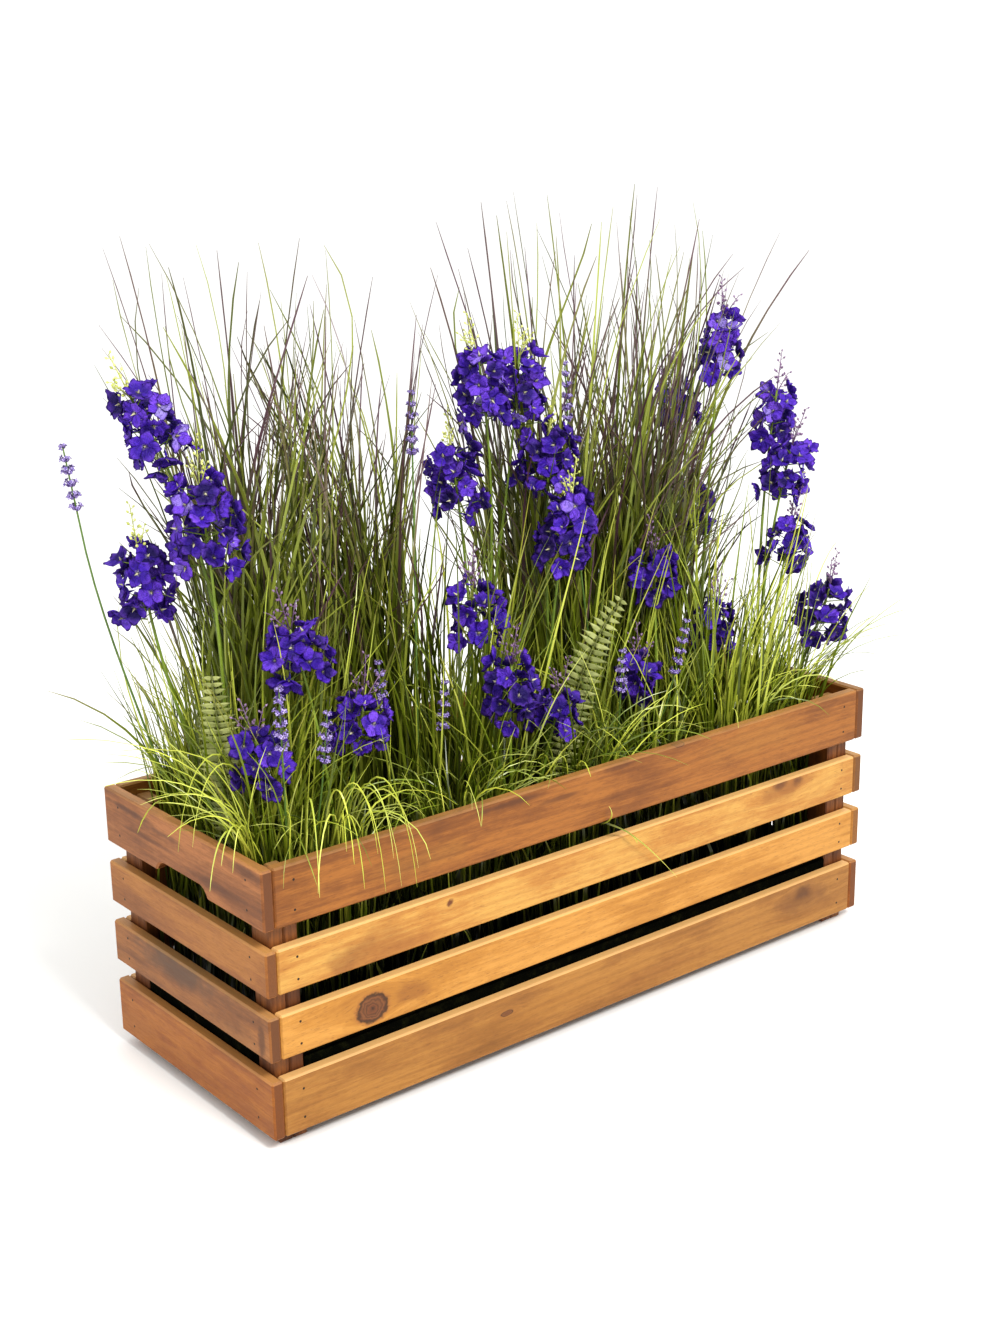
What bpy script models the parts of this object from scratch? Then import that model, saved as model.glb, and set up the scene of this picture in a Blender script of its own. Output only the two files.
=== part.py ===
"""Flower crate planter: a slatted hardwood crate planted with larkspur, lavender, fern and grasses.

Lengths are in metres and +Z is up. The origin is on the ground under the middle of the crate,
the long front faces -Y, and the left end faces -X.
"""

import math

import bmesh
import bpy
import numpy as np
from mathutils import Matrix

# Crate: four courses of boards on each side, nailed to two battens in each corner
LENGTH = 0.790
DEPTH = 0.285
BOARD = 0.012
FOOT = 0.012
TALL_COURSE = 0.058
LOW_COURSE = 0.044
COURSE_GAP = 0.020
BATTEN_WIDTH = 0.015
BATTEN_DEPTH = 0.030
BATTEN_BELOW_RIM = 0.012
EASED_EDGE = 0.0018
BATTEN_EDGE = 0.0015
FIT = 0.0003

# Hand-hold in the lower edge of each top end board
HOLD_LENGTH = 0.106
HOLD_RISE = 0.0105
HOLD_SLOPE = 0.013
HOLD_CORNER = 0.007

# Floor: boards on two cleats, low in the bottom course
CLEAT_ABOVE_GROUND = 0.016
CLEAT_HEIGHT = 0.014
FLOOR_BOARD = 0.010
FLOOR_SEAM = 0.003

# Planting bed: its top just shows in the lowest gap between the courses
BED_TOP = 0.084
BED_WAVE = 0.002
BED_SHOULDER = 0.005
CROWN_SUNK = 0.022
CROWN_PROUD = 0.008

COURSES = (
    ("bottom", TALL_COURSE),
    ("lower", LOW_COURSE),
    ("upper", LOW_COURSE),
    ("top", TALL_COURSE),
)
HEIGHT = FOOT + sum(height for _, height in COURSES) + 3 * COURSE_GAP
INNER_X = LENGTH / 2 - BOARD - FIT
INNER_Y = DEPTH / 2 - BOARD - FIT
BATTENS_END_X = INNER_X - 2 * BATTEN_WIDTH - FIT
BATTENS_END_Y = INNER_Y - BATTEN_DEPTH
FLOOR_BASE = CLEAT_ABOVE_GROUND + CLEAT_HEIGHT + FIT
BED_BASE = FLOOR_BASE + FLOOR_BOARD + FIT

# Larkspur: root on the bed, then a head for each stem as centre, lean of its axis, width and height
LARKSPUR = {
    "larkspur_left": (
        (-0.316, 0.028),
        (
            ((-0.384, 0.022, 0.642), (-0.55, 0.00), 0.066, 0.074),
            ((-0.350, -0.006, 0.556), (-0.10, 0.00), 0.078, 0.088),
            ((-0.387, 0.048, 0.496), (-0.08, 0.00), 0.052, 0.078),
        ),
    ),
    "larkspur_left_front": (
        (-0.262, -0.064),
        (
            ((-0.294, -0.060, 0.437), (-0.30, 0.00), 0.060, 0.060),
            ((-0.231, -0.064, 0.356), (0.15, -0.10), 0.062, 0.058),
            ((-0.350, -0.078, 0.352), (-0.25, -0.05), 0.054, 0.054),
        ),
    ),
    "larkspur_centre_back": (
        (-0.008, 0.050),
        (
            ((0.008, 0.044, 0.634), (-0.15, 0.05), 0.060, 0.080),
            ((0.058, 0.050, 0.626), (0.05, -0.05), 0.062, 0.082),
            ((-0.012, 0.066, 0.536), (-0.10, 0.10), 0.060, 0.078),
        ),
    ),
    "larkspur_centre": (
        (0.052, -0.004),
        (
            ((0.075, 0.022, 0.549), (0.10, 0.05), 0.070, 0.070),
            ((0.060, -0.022, 0.486), (0.20, -0.10), 0.066, 0.084),
        ),
    ),
    "larkspur_centre_front": (
        (-0.046, -0.072),
        (
            ((-0.074, -0.042, 0.428), (0.05, 0.05), 0.058, 0.068),
            ((-0.069, -0.088, 0.360), (-0.05, -0.15), 0.058, 0.070),
            ((-0.010, -0.088, 0.322), (0.15, -0.15), 0.046, 0.046),
        ),
    ),
    "larkspur_right_front": (
        (0.168, -0.046),
        (
            ((0.186, -0.022, 0.417), (0.00, 0.05), 0.054, 0.056),
            ((0.132, -0.056, 0.324), (-0.10, -0.15), 0.048, 0.046),
            ((0.262, -0.036, 0.352), (0.20, 0.00), 0.044, 0.064),
        ),
    ),
    "larkspur_right_back": (
        (0.336, 0.064),
        (
            ((0.362, 0.060, 0.639), (0.10, 0.00), 0.046, 0.078),
            ((0.338, 0.100, 0.568), (-0.10, 0.15), 0.046, 0.054),
            ((0.372, 0.112, 0.440), (0.25, 0.30), 0.054, 0.062),
        ),
    ),
    "larkspur_right": (
        (0.322, -0.046),
        (
            ((0.420, 0.030, 0.556), (0.25, 0.05), 0.050, 0.072),
            ((0.400, -0.010, 0.502), (0.30, -0.05), 0.060, 0.070),
            ((0.390, -0.026, 0.421), (0.20, -0.05), 0.056, 0.060),
            ((0.398, -0.074, 0.350), (0.25, -0.15), 0.066, 0.066),
        ),
    ),
}
LARKSPUR_CROWN = 0.009
STEM_RADIUS = 0.0022
FLORET_RADIUS = 0.0160
AREA_PER_FLORET = 0.0031
BUDS = 2

# Lavender: root on the bed, then each spike's top and number of whorls
LAVENDER = {
    "lavender_left": ((-0.333, 0.080), (((-0.439, 0.078, 0.628), 6),)),
    "lavender_front_left": (
        (-0.320, -0.066),
        (((-0.352, -0.118, 0.432), 6), ((-0.300, -0.112, 0.396), 5)),
    ),
    "lavender_centre": (
        (-0.138, -0.022),
        (((-0.104, 0.014, 0.645), 6), ((-0.186, -0.034, 0.402), 6), ((-0.120, -0.050, 0.372), 5)),
    ),
    "lavender_right": (
        (0.108, -0.030),
        (((0.106, 0.030, 0.650), 6), ((0.168, -0.088, 0.388), 6), ((0.074, -0.094, 0.376), 5)),
    ),
}
LAVENDER_CROWN = 0.006
LAVENDER_STEM = 0.0015
WHORL_RADIUS = 0.0078
WHORL_PITCH = 0.0115
WHORL_LOBES = 4

# Fern: root on the bed, direction of its lean, length, lean at root and tip
FERNS = {
    "fern_front": ((0.034, -0.050), -20, 0.355, -4, 40),
    "fern_left": ((-0.322, -0.024), 182, 0.362, 9, 3),
}
FERN_FACING = -39
FERN_CROWN = 0.006
FERN_PAIRS = 10
LEAFLET_LENGTH = 0.021
LEAFLET_WIDTH = 0.0075
LEAFLET_THICKNESS = 0.0012

# Grass: a blade rises straight for some way, then bends over with a power of the rest of its length
TUSSOCK = {"width": 0.0042, "thickness": 0.0014, "rings": 3, "rise": 0.24, "bend": 1.2, "crown": 0.021}
CLUMP = {"width": 0.0034, "thickness": 0.0012, "rings": 3, "rise": 0.14, "bend": 1.2, "crown": 0.012}
TUFT = {"width": 0.0032, "thickness": 0.0012, "rings": 4, "rise": 0.20, "bend": 0.65, "crown": 0.011}
# Name, style, root, blades, length, lean at the root and at the tip, direction and its spread
GRASSES = (
    ("tussock_left", TUSSOCK, (-0.250, 0.070), 24, (0.52, 0.71), (0, 10), (4, 30), (180, 160)),
    ("tussock_centre_left", TUSSOCK, (-0.132, 0.078), 22, (0.44, 0.66), (0, 10), (5, 40), (90, 180)),
    ("tussock_centre_right", TUSSOCK, (0.118, 0.086), 24, (0.52, 0.73), (0, 10), (4, 32), (120, 180)),
    ("tussock_right", TUSSOCK, (0.208, 0.066), 24, (0.56, 0.73), (0, 9), (3, 26), (60, 180)),
    ("tussock_right_end", TUSSOCK, (0.286, 0.100), 22, (0.48, 0.70), (0, 11), (5, 38), (20, 150)),
    ("clump_left", CLUMP, (-0.282, 0.010), 13, (0.28, 0.46), (0, 10), (8, 60), (200, 150)),
    ("clump_centre_left", CLUMP, (-0.072, 0.010), 13, (0.32, 0.50), (0, 9), (8, 60), (250, 180)),
    ("clump_centre_right", CLUMP, (0.124, 0.022), 13, (0.28, 0.48), (0, 9), (8, 60), (280, 180)),
    ("clump_right", CLUMP, (0.252, -0.044), 13, (0.26, 0.46), (0, 10), (10, 65), (320, 180)),
    ("tuft_left_end", TUFT, (-0.344, -0.080), 10, (0.25, 0.33), (0, 6), (85, 135), (190, 75)),
    ("tuft_front_left", TUFT, (-0.286, -0.108), 12, (0.26, 0.34), (0, 5), (110, 170), (255, 80)),
    ("tuft_front_centre_left", TUFT, (-0.150, -0.104), 10, (0.26, 0.32), (0, 6), (95, 150), (275, 80)),
    ("tuft_front_centre", TUFT, (0.004, -0.108), 10, (0.26, 0.34), (0, 6), (85, 140), (285, 80)),
    ("tuft_front_right", TUFT, (0.232, -0.106), 10, (0.26, 0.34), (0, 6), (80, 140), (285, 80)),
    ("tuft_right_end", TUFT, (0.340, -0.080), 10, (0.25, 0.35), (0, 7), (60, 125), (340, 75)),
    ("tuft_back", TUFT, (-0.050, 0.112), 10, (0.26, 0.33), (0, 6), (85, 160), (90, 85)),
)
# Blades that draw the outline: clump, direction, length, lean at the root and at the tip
OUTER_BLADES = (
    ("tuft_left_end", 168, 0.403, 4, 88),
    ("tuft_left_end", 190, 0.344, 5, 95),
    ("tuft_left_end", 173, 0.317, 3, 97),
    ("tuft_right_end", 4, 0.412, 6, 86),
    ("tuft_right_end", 330, 0.324, 5, 48),
    ("tuft_front_left", 225, 0.331, 2, 165),
    ("tuft_front_left", 249, 0.320, 2, 170),
    ("tuft_front_left", 286, 0.299, 3, 171),
    ("tuft_front_left", 238, 0.303, 2, 132),
    ("tuft_front_right", 222, 0.276, 4, 110),
    ("tuft_back", 92, 0.300, 3, 140),
    ("tussock_left", 164, 0.684, 3, 10),
    ("tussock_left", 223, 0.709, 3, 12),
    ("tussock_left", 297, 0.713, 0, 13),
    ("tussock_centre_left", 311, 0.674, 3, 16),
    ("tussock_centre_right", 200, 0.735, 6, 12),
    ("tussock_centre_right", 358, 0.717, 6, 10),
    ("tussock_right", 310, 0.733, 1, 6),
    ("tussock_right_end", 344, 0.696, 6, 30),
    ("tussock_right_end", 337, 0.692, 5, 41),
)
STRAIGHT_LEAN = 20
ROOT_DEPTH = 0.006
CLEARANCE = 0.0008
WELD = 0.000001
REACH_X = 0.515
REACH_Y = 0.202
BLADE_TRIES = 400
SEED = 7

# Space kept free behind each hand-hold for the fingers
FINGER_DEPTH = 0.030
FINGER_HALF_WIDTH = 0.062
FINGER_LOW = FOOT + TALL_COURSE + 2 * LOW_COURSE + 2 * COURSE_GAP - 0.008
FINGER_HIGH = FINGER_LOW + COURSE_GAP + HOLD_RISE + 0.018

COLOURS = {
    "oiled_acacia": ((0.58, 0.30, 0.11), 0.45),
    "oiled_acacia_dark": ((0.40, 0.18, 0.07), 0.50),
    "moss": ((0.06, 0.09, 0.02), 0.95),
    "grass_dark": ((0.07, 0.11, 0.03), 0.55),
    "grass_green": ((0.20, 0.27, 0.05), 0.55),
    "grass_bright": ((0.42, 0.55, 0.09), 0.50),
    "stem_green": ((0.22, 0.38, 0.04), 0.55),
    "larkspur_violet": ((0.06, 0.02, 0.42), 0.60),
    "lavender_lilac": ((0.25, 0.18, 0.48), 0.70),
    "fern_sage": ((0.26, 0.34, 0.14), 0.60),
}


def clear_scene():
    for obj in list(bpy.data.objects):
        bpy.data.objects.remove(obj, do_unlink=True)


def new_collection(name):
    collection = bpy.data.collections.new(name)
    bpy.context.scene.collection.children.link(collection)
    return collection


def make_materials():
    materials = {}
    for name, (colour, roughness) in COLOURS.items():
        material = bpy.data.materials.new(name)
        material.use_nodes = True
        shader = material.node_tree.nodes["Principled BSDF"]
        shader.inputs["Base Color"].default_value = (*colour, 1.0)
        shader.inputs["Roughness"].default_value = roughness
        materials[name] = material
    return materials


clear_scene()
PARTS = new_collection("flower_crate_planter")
CUTTERS = new_collection("cutters")
MATERIALS = make_materials()
DRAW = np.random.default_rng(SEED)


def add_object(name, mesh, material_names, collection=PARTS):
    obj = bpy.data.objects.new(name, mesh)
    for material_name in material_names:
        mesh.materials.append(MATERIALS[material_name])
    collection.objects.link(obj)
    return obj


def as_cutter(obj):
    obj.hide_render = True
    obj.display_type = "WIRE"
    return obj


def cube_mesh(name, size):
    bm = bmesh.new()
    bmesh.ops.create_cube(bm, size=1.0, matrix=Matrix.Diagonal((*size, 1.0)))
    mesh = bpy.data.meshes.new(name)
    bm.to_mesh(mesh)
    bm.free()
    return mesh


def block(name, low, high, material_name, collection=PARTS):
    """A box from its lowest to its highest corner, with its origin at its middle."""
    low = np.array(low)
    high = np.array(high)
    obj = add_object(name, cube_mesh(name, high - low), [material_name], collection)
    obj.location = (low + high) / 2
    return obj


def ease_edges(obj, width=EASED_EDGE):
    bevel = obj.modifiers.new("eased edges", "BEVEL")
    bevel.width = width
    bevel.segments = 1
    bevel.limit_method = "ANGLE"


def cut(obj, cutter):
    boolean = obj.modifiers.new("cut", "BOOLEAN")
    boolean.operation = "DIFFERENCE"
    boolean.object = cutter


# Sides of the crate


def hand_hold_cutter(name, x, base):
    """A bar along X whose upper side narrows to rounded corners."""
    bm = bmesh.new()
    size = (4 * BOARD, HOLD_LENGTH, 2 * HOLD_RISE)
    bmesh.ops.create_cube(bm, size=1.0, matrix=Matrix.Diagonal((*size, 1.0)))
    for vert in bm.verts:
        if vert.co.z > 0:
            vert.co.y -= math.copysign(HOLD_SLOPE, vert.co.y)
    top_corners = [
        edge
        for edge in bm.edges
        if all(vert.co.z > 0 for vert in edge.verts) and abs(edge.verts[0].co.x - edge.verts[1].co.x) > BOARD
    ]
    bmesh.ops.bevel(bm, geom=top_corners, offset=HOLD_CORNER, segments=3, profile=0.5, affect="EDGES")
    mesh = bpy.data.meshes.new(name)
    bm.to_mesh(mesh)
    bm.free()
    cutter = add_object(name, mesh, ["oiled_acacia"], CUTTERS)
    cutter.location = (x, 0.0, base)
    return as_cutter(cutter)


def make_sides():
    base = FOOT
    for course, height in COURSES:
        for side, sign in (("front", -1), ("back", 1)):
            inner = sign * (DEPTH / 2 - BOARD)
            outer = sign * DEPTH / 2
            half = LENGTH / 2 - BOARD - FIT
            board = block(
                f"board_{side}_{course}",
                (-half, min(inner, outer), base),
                (half, max(inner, outer), base + height),
                "oiled_acacia",
            )
            ease_edges(board)
        for side, sign in (("left", -1), ("right", 1)):
            inner = sign * (LENGTH / 2 - BOARD)
            outer = sign * LENGTH / 2
            board = block(
                f"board_{side}_{course}",
                (min(inner, outer), -DEPTH / 2, base),
                (max(inner, outer), DEPTH / 2, base + height),
                "oiled_acacia",
            )
            if course == "top":
                cut(board, hand_hold_cutter(f"hand_hold_{side}", (inner + outer) / 2, base))
            ease_edges(board)
        base += height + COURSE_GAP


def make_battens():
    top = HEIGHT - BATTEN_BELOW_RIM
    for end, x_sign in (("left", -1), ("right", 1)):
        for side, y_sign in (("front", -1), ("back", 1)):
            for kind, step in (("end", 0), ("side", 1)):
                near = INNER_X - step * (BATTEN_WIDTH + FIT)
                xs = sorted((x_sign * near, x_sign * (near - BATTEN_WIDTH)))
                ys = sorted((y_sign * INNER_Y, y_sign * BATTENS_END_Y))
                batten = block(
                    f"batten_{end}_{side}_{kind}",
                    (xs[0], ys[0], 0.0),
                    (xs[1], ys[1], top),
                    "oiled_acacia_dark",
                )
                ease_edges(batten, BATTEN_EDGE)


# Floor and planting bed


def outline_board(name, outline, base, thickness, material_name):
    """A board from its outline seen from above, as a filled flat curve with a thickness."""
    curve = bpy.data.curves.new(name, "CURVE")
    curve.dimensions = "2D"
    curve.fill_mode = "BOTH"
    curve.extrude = thickness / 2
    spline = curve.splines.new("POLY")
    spline.points.add(len(outline) - 1)
    for point, (x, y) in zip(spline.points, outline):
        point.co = (x, y, 0.0, 1.0)
    spline.use_cyclic_u = True
    obj = add_object(name, curve, [material_name])
    obj.location = (0.0, 0.0, base + thickness / 2)
    return obj


def make_floor():
    cleat_end = BATTENS_END_Y - FIT
    for end, sign in (("left", -1), ("right", 1)):
        xs = sorted((sign * INNER_X, sign * (INNER_X - BATTEN_WIDTH)))
        block(
            f"cleat_{end}",
            (xs[0], -cleat_end, CLEAT_ABOVE_GROUND),
            (xs[1], cleat_end, CLEAT_ABOVE_GROUND + CLEAT_HEIGHT),
            "oiled_acacia_dark",
        )
    third = (2 * INNER_Y - 2 * FLOOR_SEAM) / 3
    inner_edge = third / 2 + FLOOR_SEAM
    block(
        "floor_middle",
        (-INNER_X, -third / 2, FLOOR_BASE),
        (INNER_X, third / 2, FLOOR_BASE + FLOOR_BOARD),
        "oiled_acacia_dark",
    )
    notch_x = BATTENS_END_X - FIT
    notch_y = BATTENS_END_Y - FIT
    edge_y = INNER_Y - FIT
    for side, sign in (("front", -1), ("back", 1)):
        half = ((INNER_X, inner_edge), (INNER_X, notch_y), (notch_x, notch_y), (notch_x, edge_y))
        outline = [(x, sign * y) for x, y in half]
        outline += [(-x, sign * y) for x, y in reversed(half)]
        outline_board(f"floor_{side}", outline, FLOOR_BASE, FLOOR_BOARD, "oiled_acacia_dark")


def bed_surface(x, y):
    """Height of the bed: low waves, rounded down to a shoulder along its edges."""
    waves = np.sin(31 * x + 17 * y) * np.cos(43 * y - 11 * x)
    edge = np.maximum(np.abs(x) / INNER_X, np.abs(y) / INNER_Y)
    return BED_TOP + BED_WAVE * waves - BED_SHOULDER * edge**12


def make_bed(roots):
    """The bed is a waved sheet pulled down to a flat base, with pockets for battens and crowns."""
    bm = bmesh.new()
    size = Matrix.Diagonal((INNER_X - FIT, INNER_Y - FIT, 1.0, 1.0))
    bmesh.ops.create_grid(bm, x_segments=10, y_segments=4, size=1.0, matrix=size)
    top = bm.faces[:]
    for vert in bm.verts:
        vert.co.z = bed_surface(vert.co.x, vert.co.y)
    skirt = bmesh.ops.extrude_face_region(bm, geom=top)
    lower = [item for item in skirt["geom"] if isinstance(item, bmesh.types.BMFace)]
    for item in skirt["geom"]:
        if isinstance(item, bmesh.types.BMVert):
            item.co.z = BED_BASE
    bmesh.ops.dissolve_faces(bm, faces=lower)
    bmesh.ops.recalc_face_normals(bm, faces=bm.faces[:])
    mesh = bpy.data.meshes.new("planting_bed")
    bm.to_mesh(mesh)
    bm.free()
    bed = add_object("planting_bed", mesh, ["moss"])
    pockets = new_collection("bed_pockets")
    for x_sign in (-1, 1):
        for y_sign in (-1, 1):
            xs = sorted((x_sign * (BATTENS_END_X - FIT), x_sign * LENGTH / 2))
            ys = sorted((y_sign * (BATTENS_END_Y - FIT), y_sign * DEPTH / 2))
            as_cutter(block("batten_pocket", (xs[0], ys[0], 0.0), (xs[1], ys[1], 0.2), "moss", pockets))
    for (x, y), radius in roots:
        mesh = crown_mesh("crown_pocket", radius + FIT / math.cos(math.pi / 6), CROWN_SUNK + FIT, 0.05)
        pocket = as_cutter(add_object("crown_pocket", mesh, ["moss"], pockets))
        pocket.location = (x, y, BED_TOP)
    boolean = bed.modifiers.new("pockets", "BOOLEAN")
    boolean.operation = "DIFFERENCE"
    boolean.operand_type = "COLLECTION"
    boolean.collection = pockets


# Shapes that the plants repeat


def crown_mesh(name, radius, below, above):
    """A six-sided plug that reaches below and above the bed's top."""
    bm = bmesh.new()
    place = Matrix.Translation((0.0, 0.0, (above - below) / 2))
    bmesh.ops.create_cone(
        bm, cap_ends=True, segments=6, radius1=radius, radius2=radius, depth=above + below, matrix=place
    )
    mesh = bpy.data.meshes.new(name)
    bm.to_mesh(mesh)
    bm.free()
    return mesh


def needle(rings):
    """Points and faces of a three-sided needle of unit height, cut into this many rings."""
    bm = bmesh.new()
    place = Matrix.Translation((0.0, 0.0, 0.5))
    bmesh.ops.create_cone(bm, cap_ends=True, segments=3, radius1=1.0, radius2=0.0, depth=1.0, matrix=place)
    for ring in range(1, rings):
        whole = bm.verts[:] + bm.edges[:] + bm.faces[:]
        bmesh.ops.bisect_plane(bm, geom=whole, plane_co=(0, 0, ring / rings), plane_no=(0, 0, 1))
    bm.verts.index_update()
    points = np.array([vert.co[:] for vert in bm.verts])
    faces = [[vert.index for vert in face.verts] for face in bm.faces]
    bm.free()
    return points, faces


NEEDLES = {rings: needle(rings) for rings in range(1, 8)}


def bent_needle(path, widths, thicknesses, side):
    """A needle bent along a path: each ring takes its own width and thickness, across the side vector."""
    points, faces = NEEDLES[len(path) - 1]
    ring = np.rint(points[:, 2] * (len(path) - 1)).astype(int)
    unit = points[:, :2] / np.maximum(1.0 - points[:, 2:3], 1e-6)
    along = np.gradient(path, axis=0)
    along /= np.linalg.norm(along, axis=1, keepdims=True)
    side = side - (along @ side)[:, None] * along
    side /= np.linalg.norm(side, axis=1, keepdims=True)
    normal = np.cross(along, side)
    across = unit[:, 1] / math.sqrt(3) * np.asarray(widths)[ring]
    out = -unit[:, 0] / 1.5 * np.asarray(thicknesses)[ring]
    placed = path[ring] + across[:, None] * side[ring] + out[:, None] * normal[ring]
    return placed, faces


def lobed_star(centre, front, back, facing, radius, lobes, turn):
    """A flower of pointed lobes round a centre, closed behind to a point.

    Each lobe is a kite from the centre through two notches to its tip. The notches lie behind the
    line from centre to tip, which gives the lobe its thickness.
    """
    helper = np.array([0.0, 0.0, 1.0]) if abs(facing[2]) < 0.9 else np.array([1.0, 0.0, 0.0])
    first = np.cross(facing, helper)
    first /= np.linalg.norm(first)
    second = np.cross(facing, first)
    angle = turn + 2 * math.pi * np.arange(lobes) / lobes
    half = math.pi / lobes

    def circle(angles, reach, lift):
        spokes = np.cos(angles)[:, None] * first + np.sin(angles)[:, None] * second
        return centre + reach * spokes + lift * facing

    tips = circle(angle, radius, 0.0018)
    notches = circle(angle - half, 0.68 * radius, -0.0024)
    points = np.vstack([tips, notches, front, back])
    middle = 2 * lobes
    apex = middle + 1
    faces = []
    for lobe in range(lobes):
        tip = lobe
        before = lobes + lobe
        after = lobes + (lobe + 1) % lobes
        faces += [(middle, before, tip), (middle, tip, after), (before, after, tip), (before, apex, after)]
    return points, faces


def ball(centre, axis, radius, half_length):
    """A five-sided spindle along an axis, the core that florets stand on."""
    bm = bmesh.new()
    bmesh.ops.create_uvsphere(bm, u_segments=5, v_segments=3, radius=1.0)
    bm.verts.index_update()
    points = np.array([vert.co[:] for vert in bm.verts])
    faces = [[vert.index for vert in face.verts] for face in bm.faces]
    bm.free()
    first = np.cross(axis, (0.0, 1.0, 0.0))
    first /= np.linalg.norm(first)
    second = np.cross(axis, first)
    placed = centre + radius * (points[:, :1] * first + points[:, 1:2] * second)
    return placed + half_length * points[:, 2:] * axis, faces


def whorled_spike(top, along, whorls):
    """A spike of whorls: rings of lobes and notches, each between two narrow rings on the stem."""
    first = np.cross(along, (0.0, 1.0, 0.0))
    first /= np.linalg.norm(first)
    second = np.cross(along, first)
    step = math.pi / WHORL_LOBES

    def ring(angles, reach, down):
        spokes = np.cos(angles)[:, None] * first + np.sin(angles)[:, None] * second
        return top - down * along + np.asarray(reach)[:, None] * spokes

    points = [top[None, :]]
    faces = []
    above = [0] * WHORL_LOBES
    count = 1
    for whorl in range(whorls):
        turn = 0.5 * whorl + 2 * step * np.arange(WHORL_LOBES)
        reach = WHORL_RADIUS * (0.62 + 0.38 * min(whorl, 2) / 2)
        down = 0.006 + WHORL_PITCH * whorl
        tips = ring(turn, [reach] * WHORL_LOBES, down - 0.0015)
        notches = ring(turn + step, [0.5 * reach] * WHORL_LOBES, down + 0.0015)
        last = whorl == whorls - 1
        below = ring(turn + step, [LAVENDER_STEM * 0.8] * WHORL_LOBES, down + 0.6 * WHORL_PITCH)
        if last:
            below = (top - (down + 0.7 * WHORL_PITCH) * along)[None, :]
        points += [tips, notches, below]
        tip = list(range(count, count + WHORL_LOBES))
        notch = list(range(count + WHORL_LOBES, count + 2 * WHORL_LOBES))
        first_below = count + 2 * WHORL_LOBES
        next_above = [first_below if last else first_below + lobe for lobe in range(WHORL_LOBES)]
        for lobe in range(WHORL_LOBES):
            before = lobe - 1
            faces += lobe_faces(tip[lobe], notch[before], notch[lobe], above[before], above[lobe])
            faces += lobe_faces(tip[lobe], notch[lobe], notch[before], next_above[lobe], next_above[before])
        above = next_above
        count += len(tips) + len(notches) + len(below)
    return np.vstack(points), faces


def lobe_faces(tip, notch_a, notch_b, stem_a, stem_b):
    """One side of a lobe, from its tip and two notches to the stem; stem points may be the same."""
    faces = [(tip, notch_a, stem_a), (tip, stem_b, notch_b)]
    if stem_a != stem_b:
        faces.append((tip, stem_a, stem_b))
    return faces


# Paths


def grass_path(root, direction, length, lean, tip_lean, bend, rings, rise=0.0):
    """A blade that rises straight, then leans over from there to its tip as a power of the length."""
    steps = 60
    straight = rise / length
    middle = (np.arange(steps) + 0.5) / steps
    bent = np.clip((middle - straight) / (1 - straight), 0, 1)
    angle = np.radians(lean + (tip_lean - lean) * bent**bend)
    away = np.concatenate([[0.0], np.cumsum(np.sin(angle))]) * length / steps
    up = np.concatenate([[0.0], np.cumsum(np.cos(angle))]) * length / steps
    heading = math.radians(direction)
    line = np.stack([away * math.cos(heading), away * math.sin(heading), up], axis=1)
    shares = np.linspace(0, 1, rings + 1)
    if rise and rings > 2:
        shares = np.append(0.0, straight + (1 - straight) * np.linspace(0, 1, rings))
    return root + line[np.rint(shares * steps).astype(int)]


def stem_path(root, top, axis, rings):
    """A cubic curve that leaves the crown upright and arrives along the head's axis."""
    rise = top[2] - root[2]
    handles = np.array([root, root + (0.0, 0.0, 0.4 * rise), top - 0.35 * rise * axis, top])
    t = np.linspace(0, 1, rings + 1)[:, None]
    weights = np.hstack([(1 - t) ** 3, 3 * t * (1 - t) ** 2, 3 * t**2 * (1 - t), t**3])
    return weights @ handles


# Space that is taken: segments with a radius, each with the number of its plant


class Space:
    def __init__(self):
        self.starts = np.empty((0, 3))
        self.ends = np.empty((0, 3))
        self.radii = np.empty(0)
        self.owners = np.empty(0, int)
        self.crowns = np.empty(0, bool)

    def take(self, path, radius, owner, crown=False):
        self.starts = np.vstack([self.starts, path[:-1]])
        self.ends = np.vstack([self.ends, path[1:]])
        self.radii = np.append(self.radii, np.full(len(path) - 1, radius))
        self.owners = np.append(self.owners, np.full(len(path) - 1, owner))
        self.crowns = np.append(self.crowns, np.full(len(path) - 1, crown))

    def gap(self, start, end, radius, owner):
        """Least free distance from one segment to all others but the plant's own crown."""
        chosen = (self.owners != owner) | ~self.crowns
        if not chosen.any():
            return 1.0
        p, q, radii = self.starts[chosen], self.ends[chosen], self.radii[chosen]
        d1 = end - start
        d2 = q - p
        r = start - p
        a = max(d1 @ d1, 1e-12)
        e = np.maximum((d2 * d2).sum(axis=1), 1e-12)
        f = (d2 * r).sum(axis=1)
        c = r @ d1
        b = d2 @ d1
        denominator = np.maximum(a * e - b * b, 1e-15)
        s = np.clip((b * f - c * e) / denominator, 0, 1)
        t = np.clip((b * s + f) / e, 0, 1)
        s = np.clip((b * t - c) / a, 0, 1)
        between = start + s[:, None] * d1 - p - t[:, None] * d2
        return (np.linalg.norm(between, axis=1) - radii - radius).min()


SPACE = Space()


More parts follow.
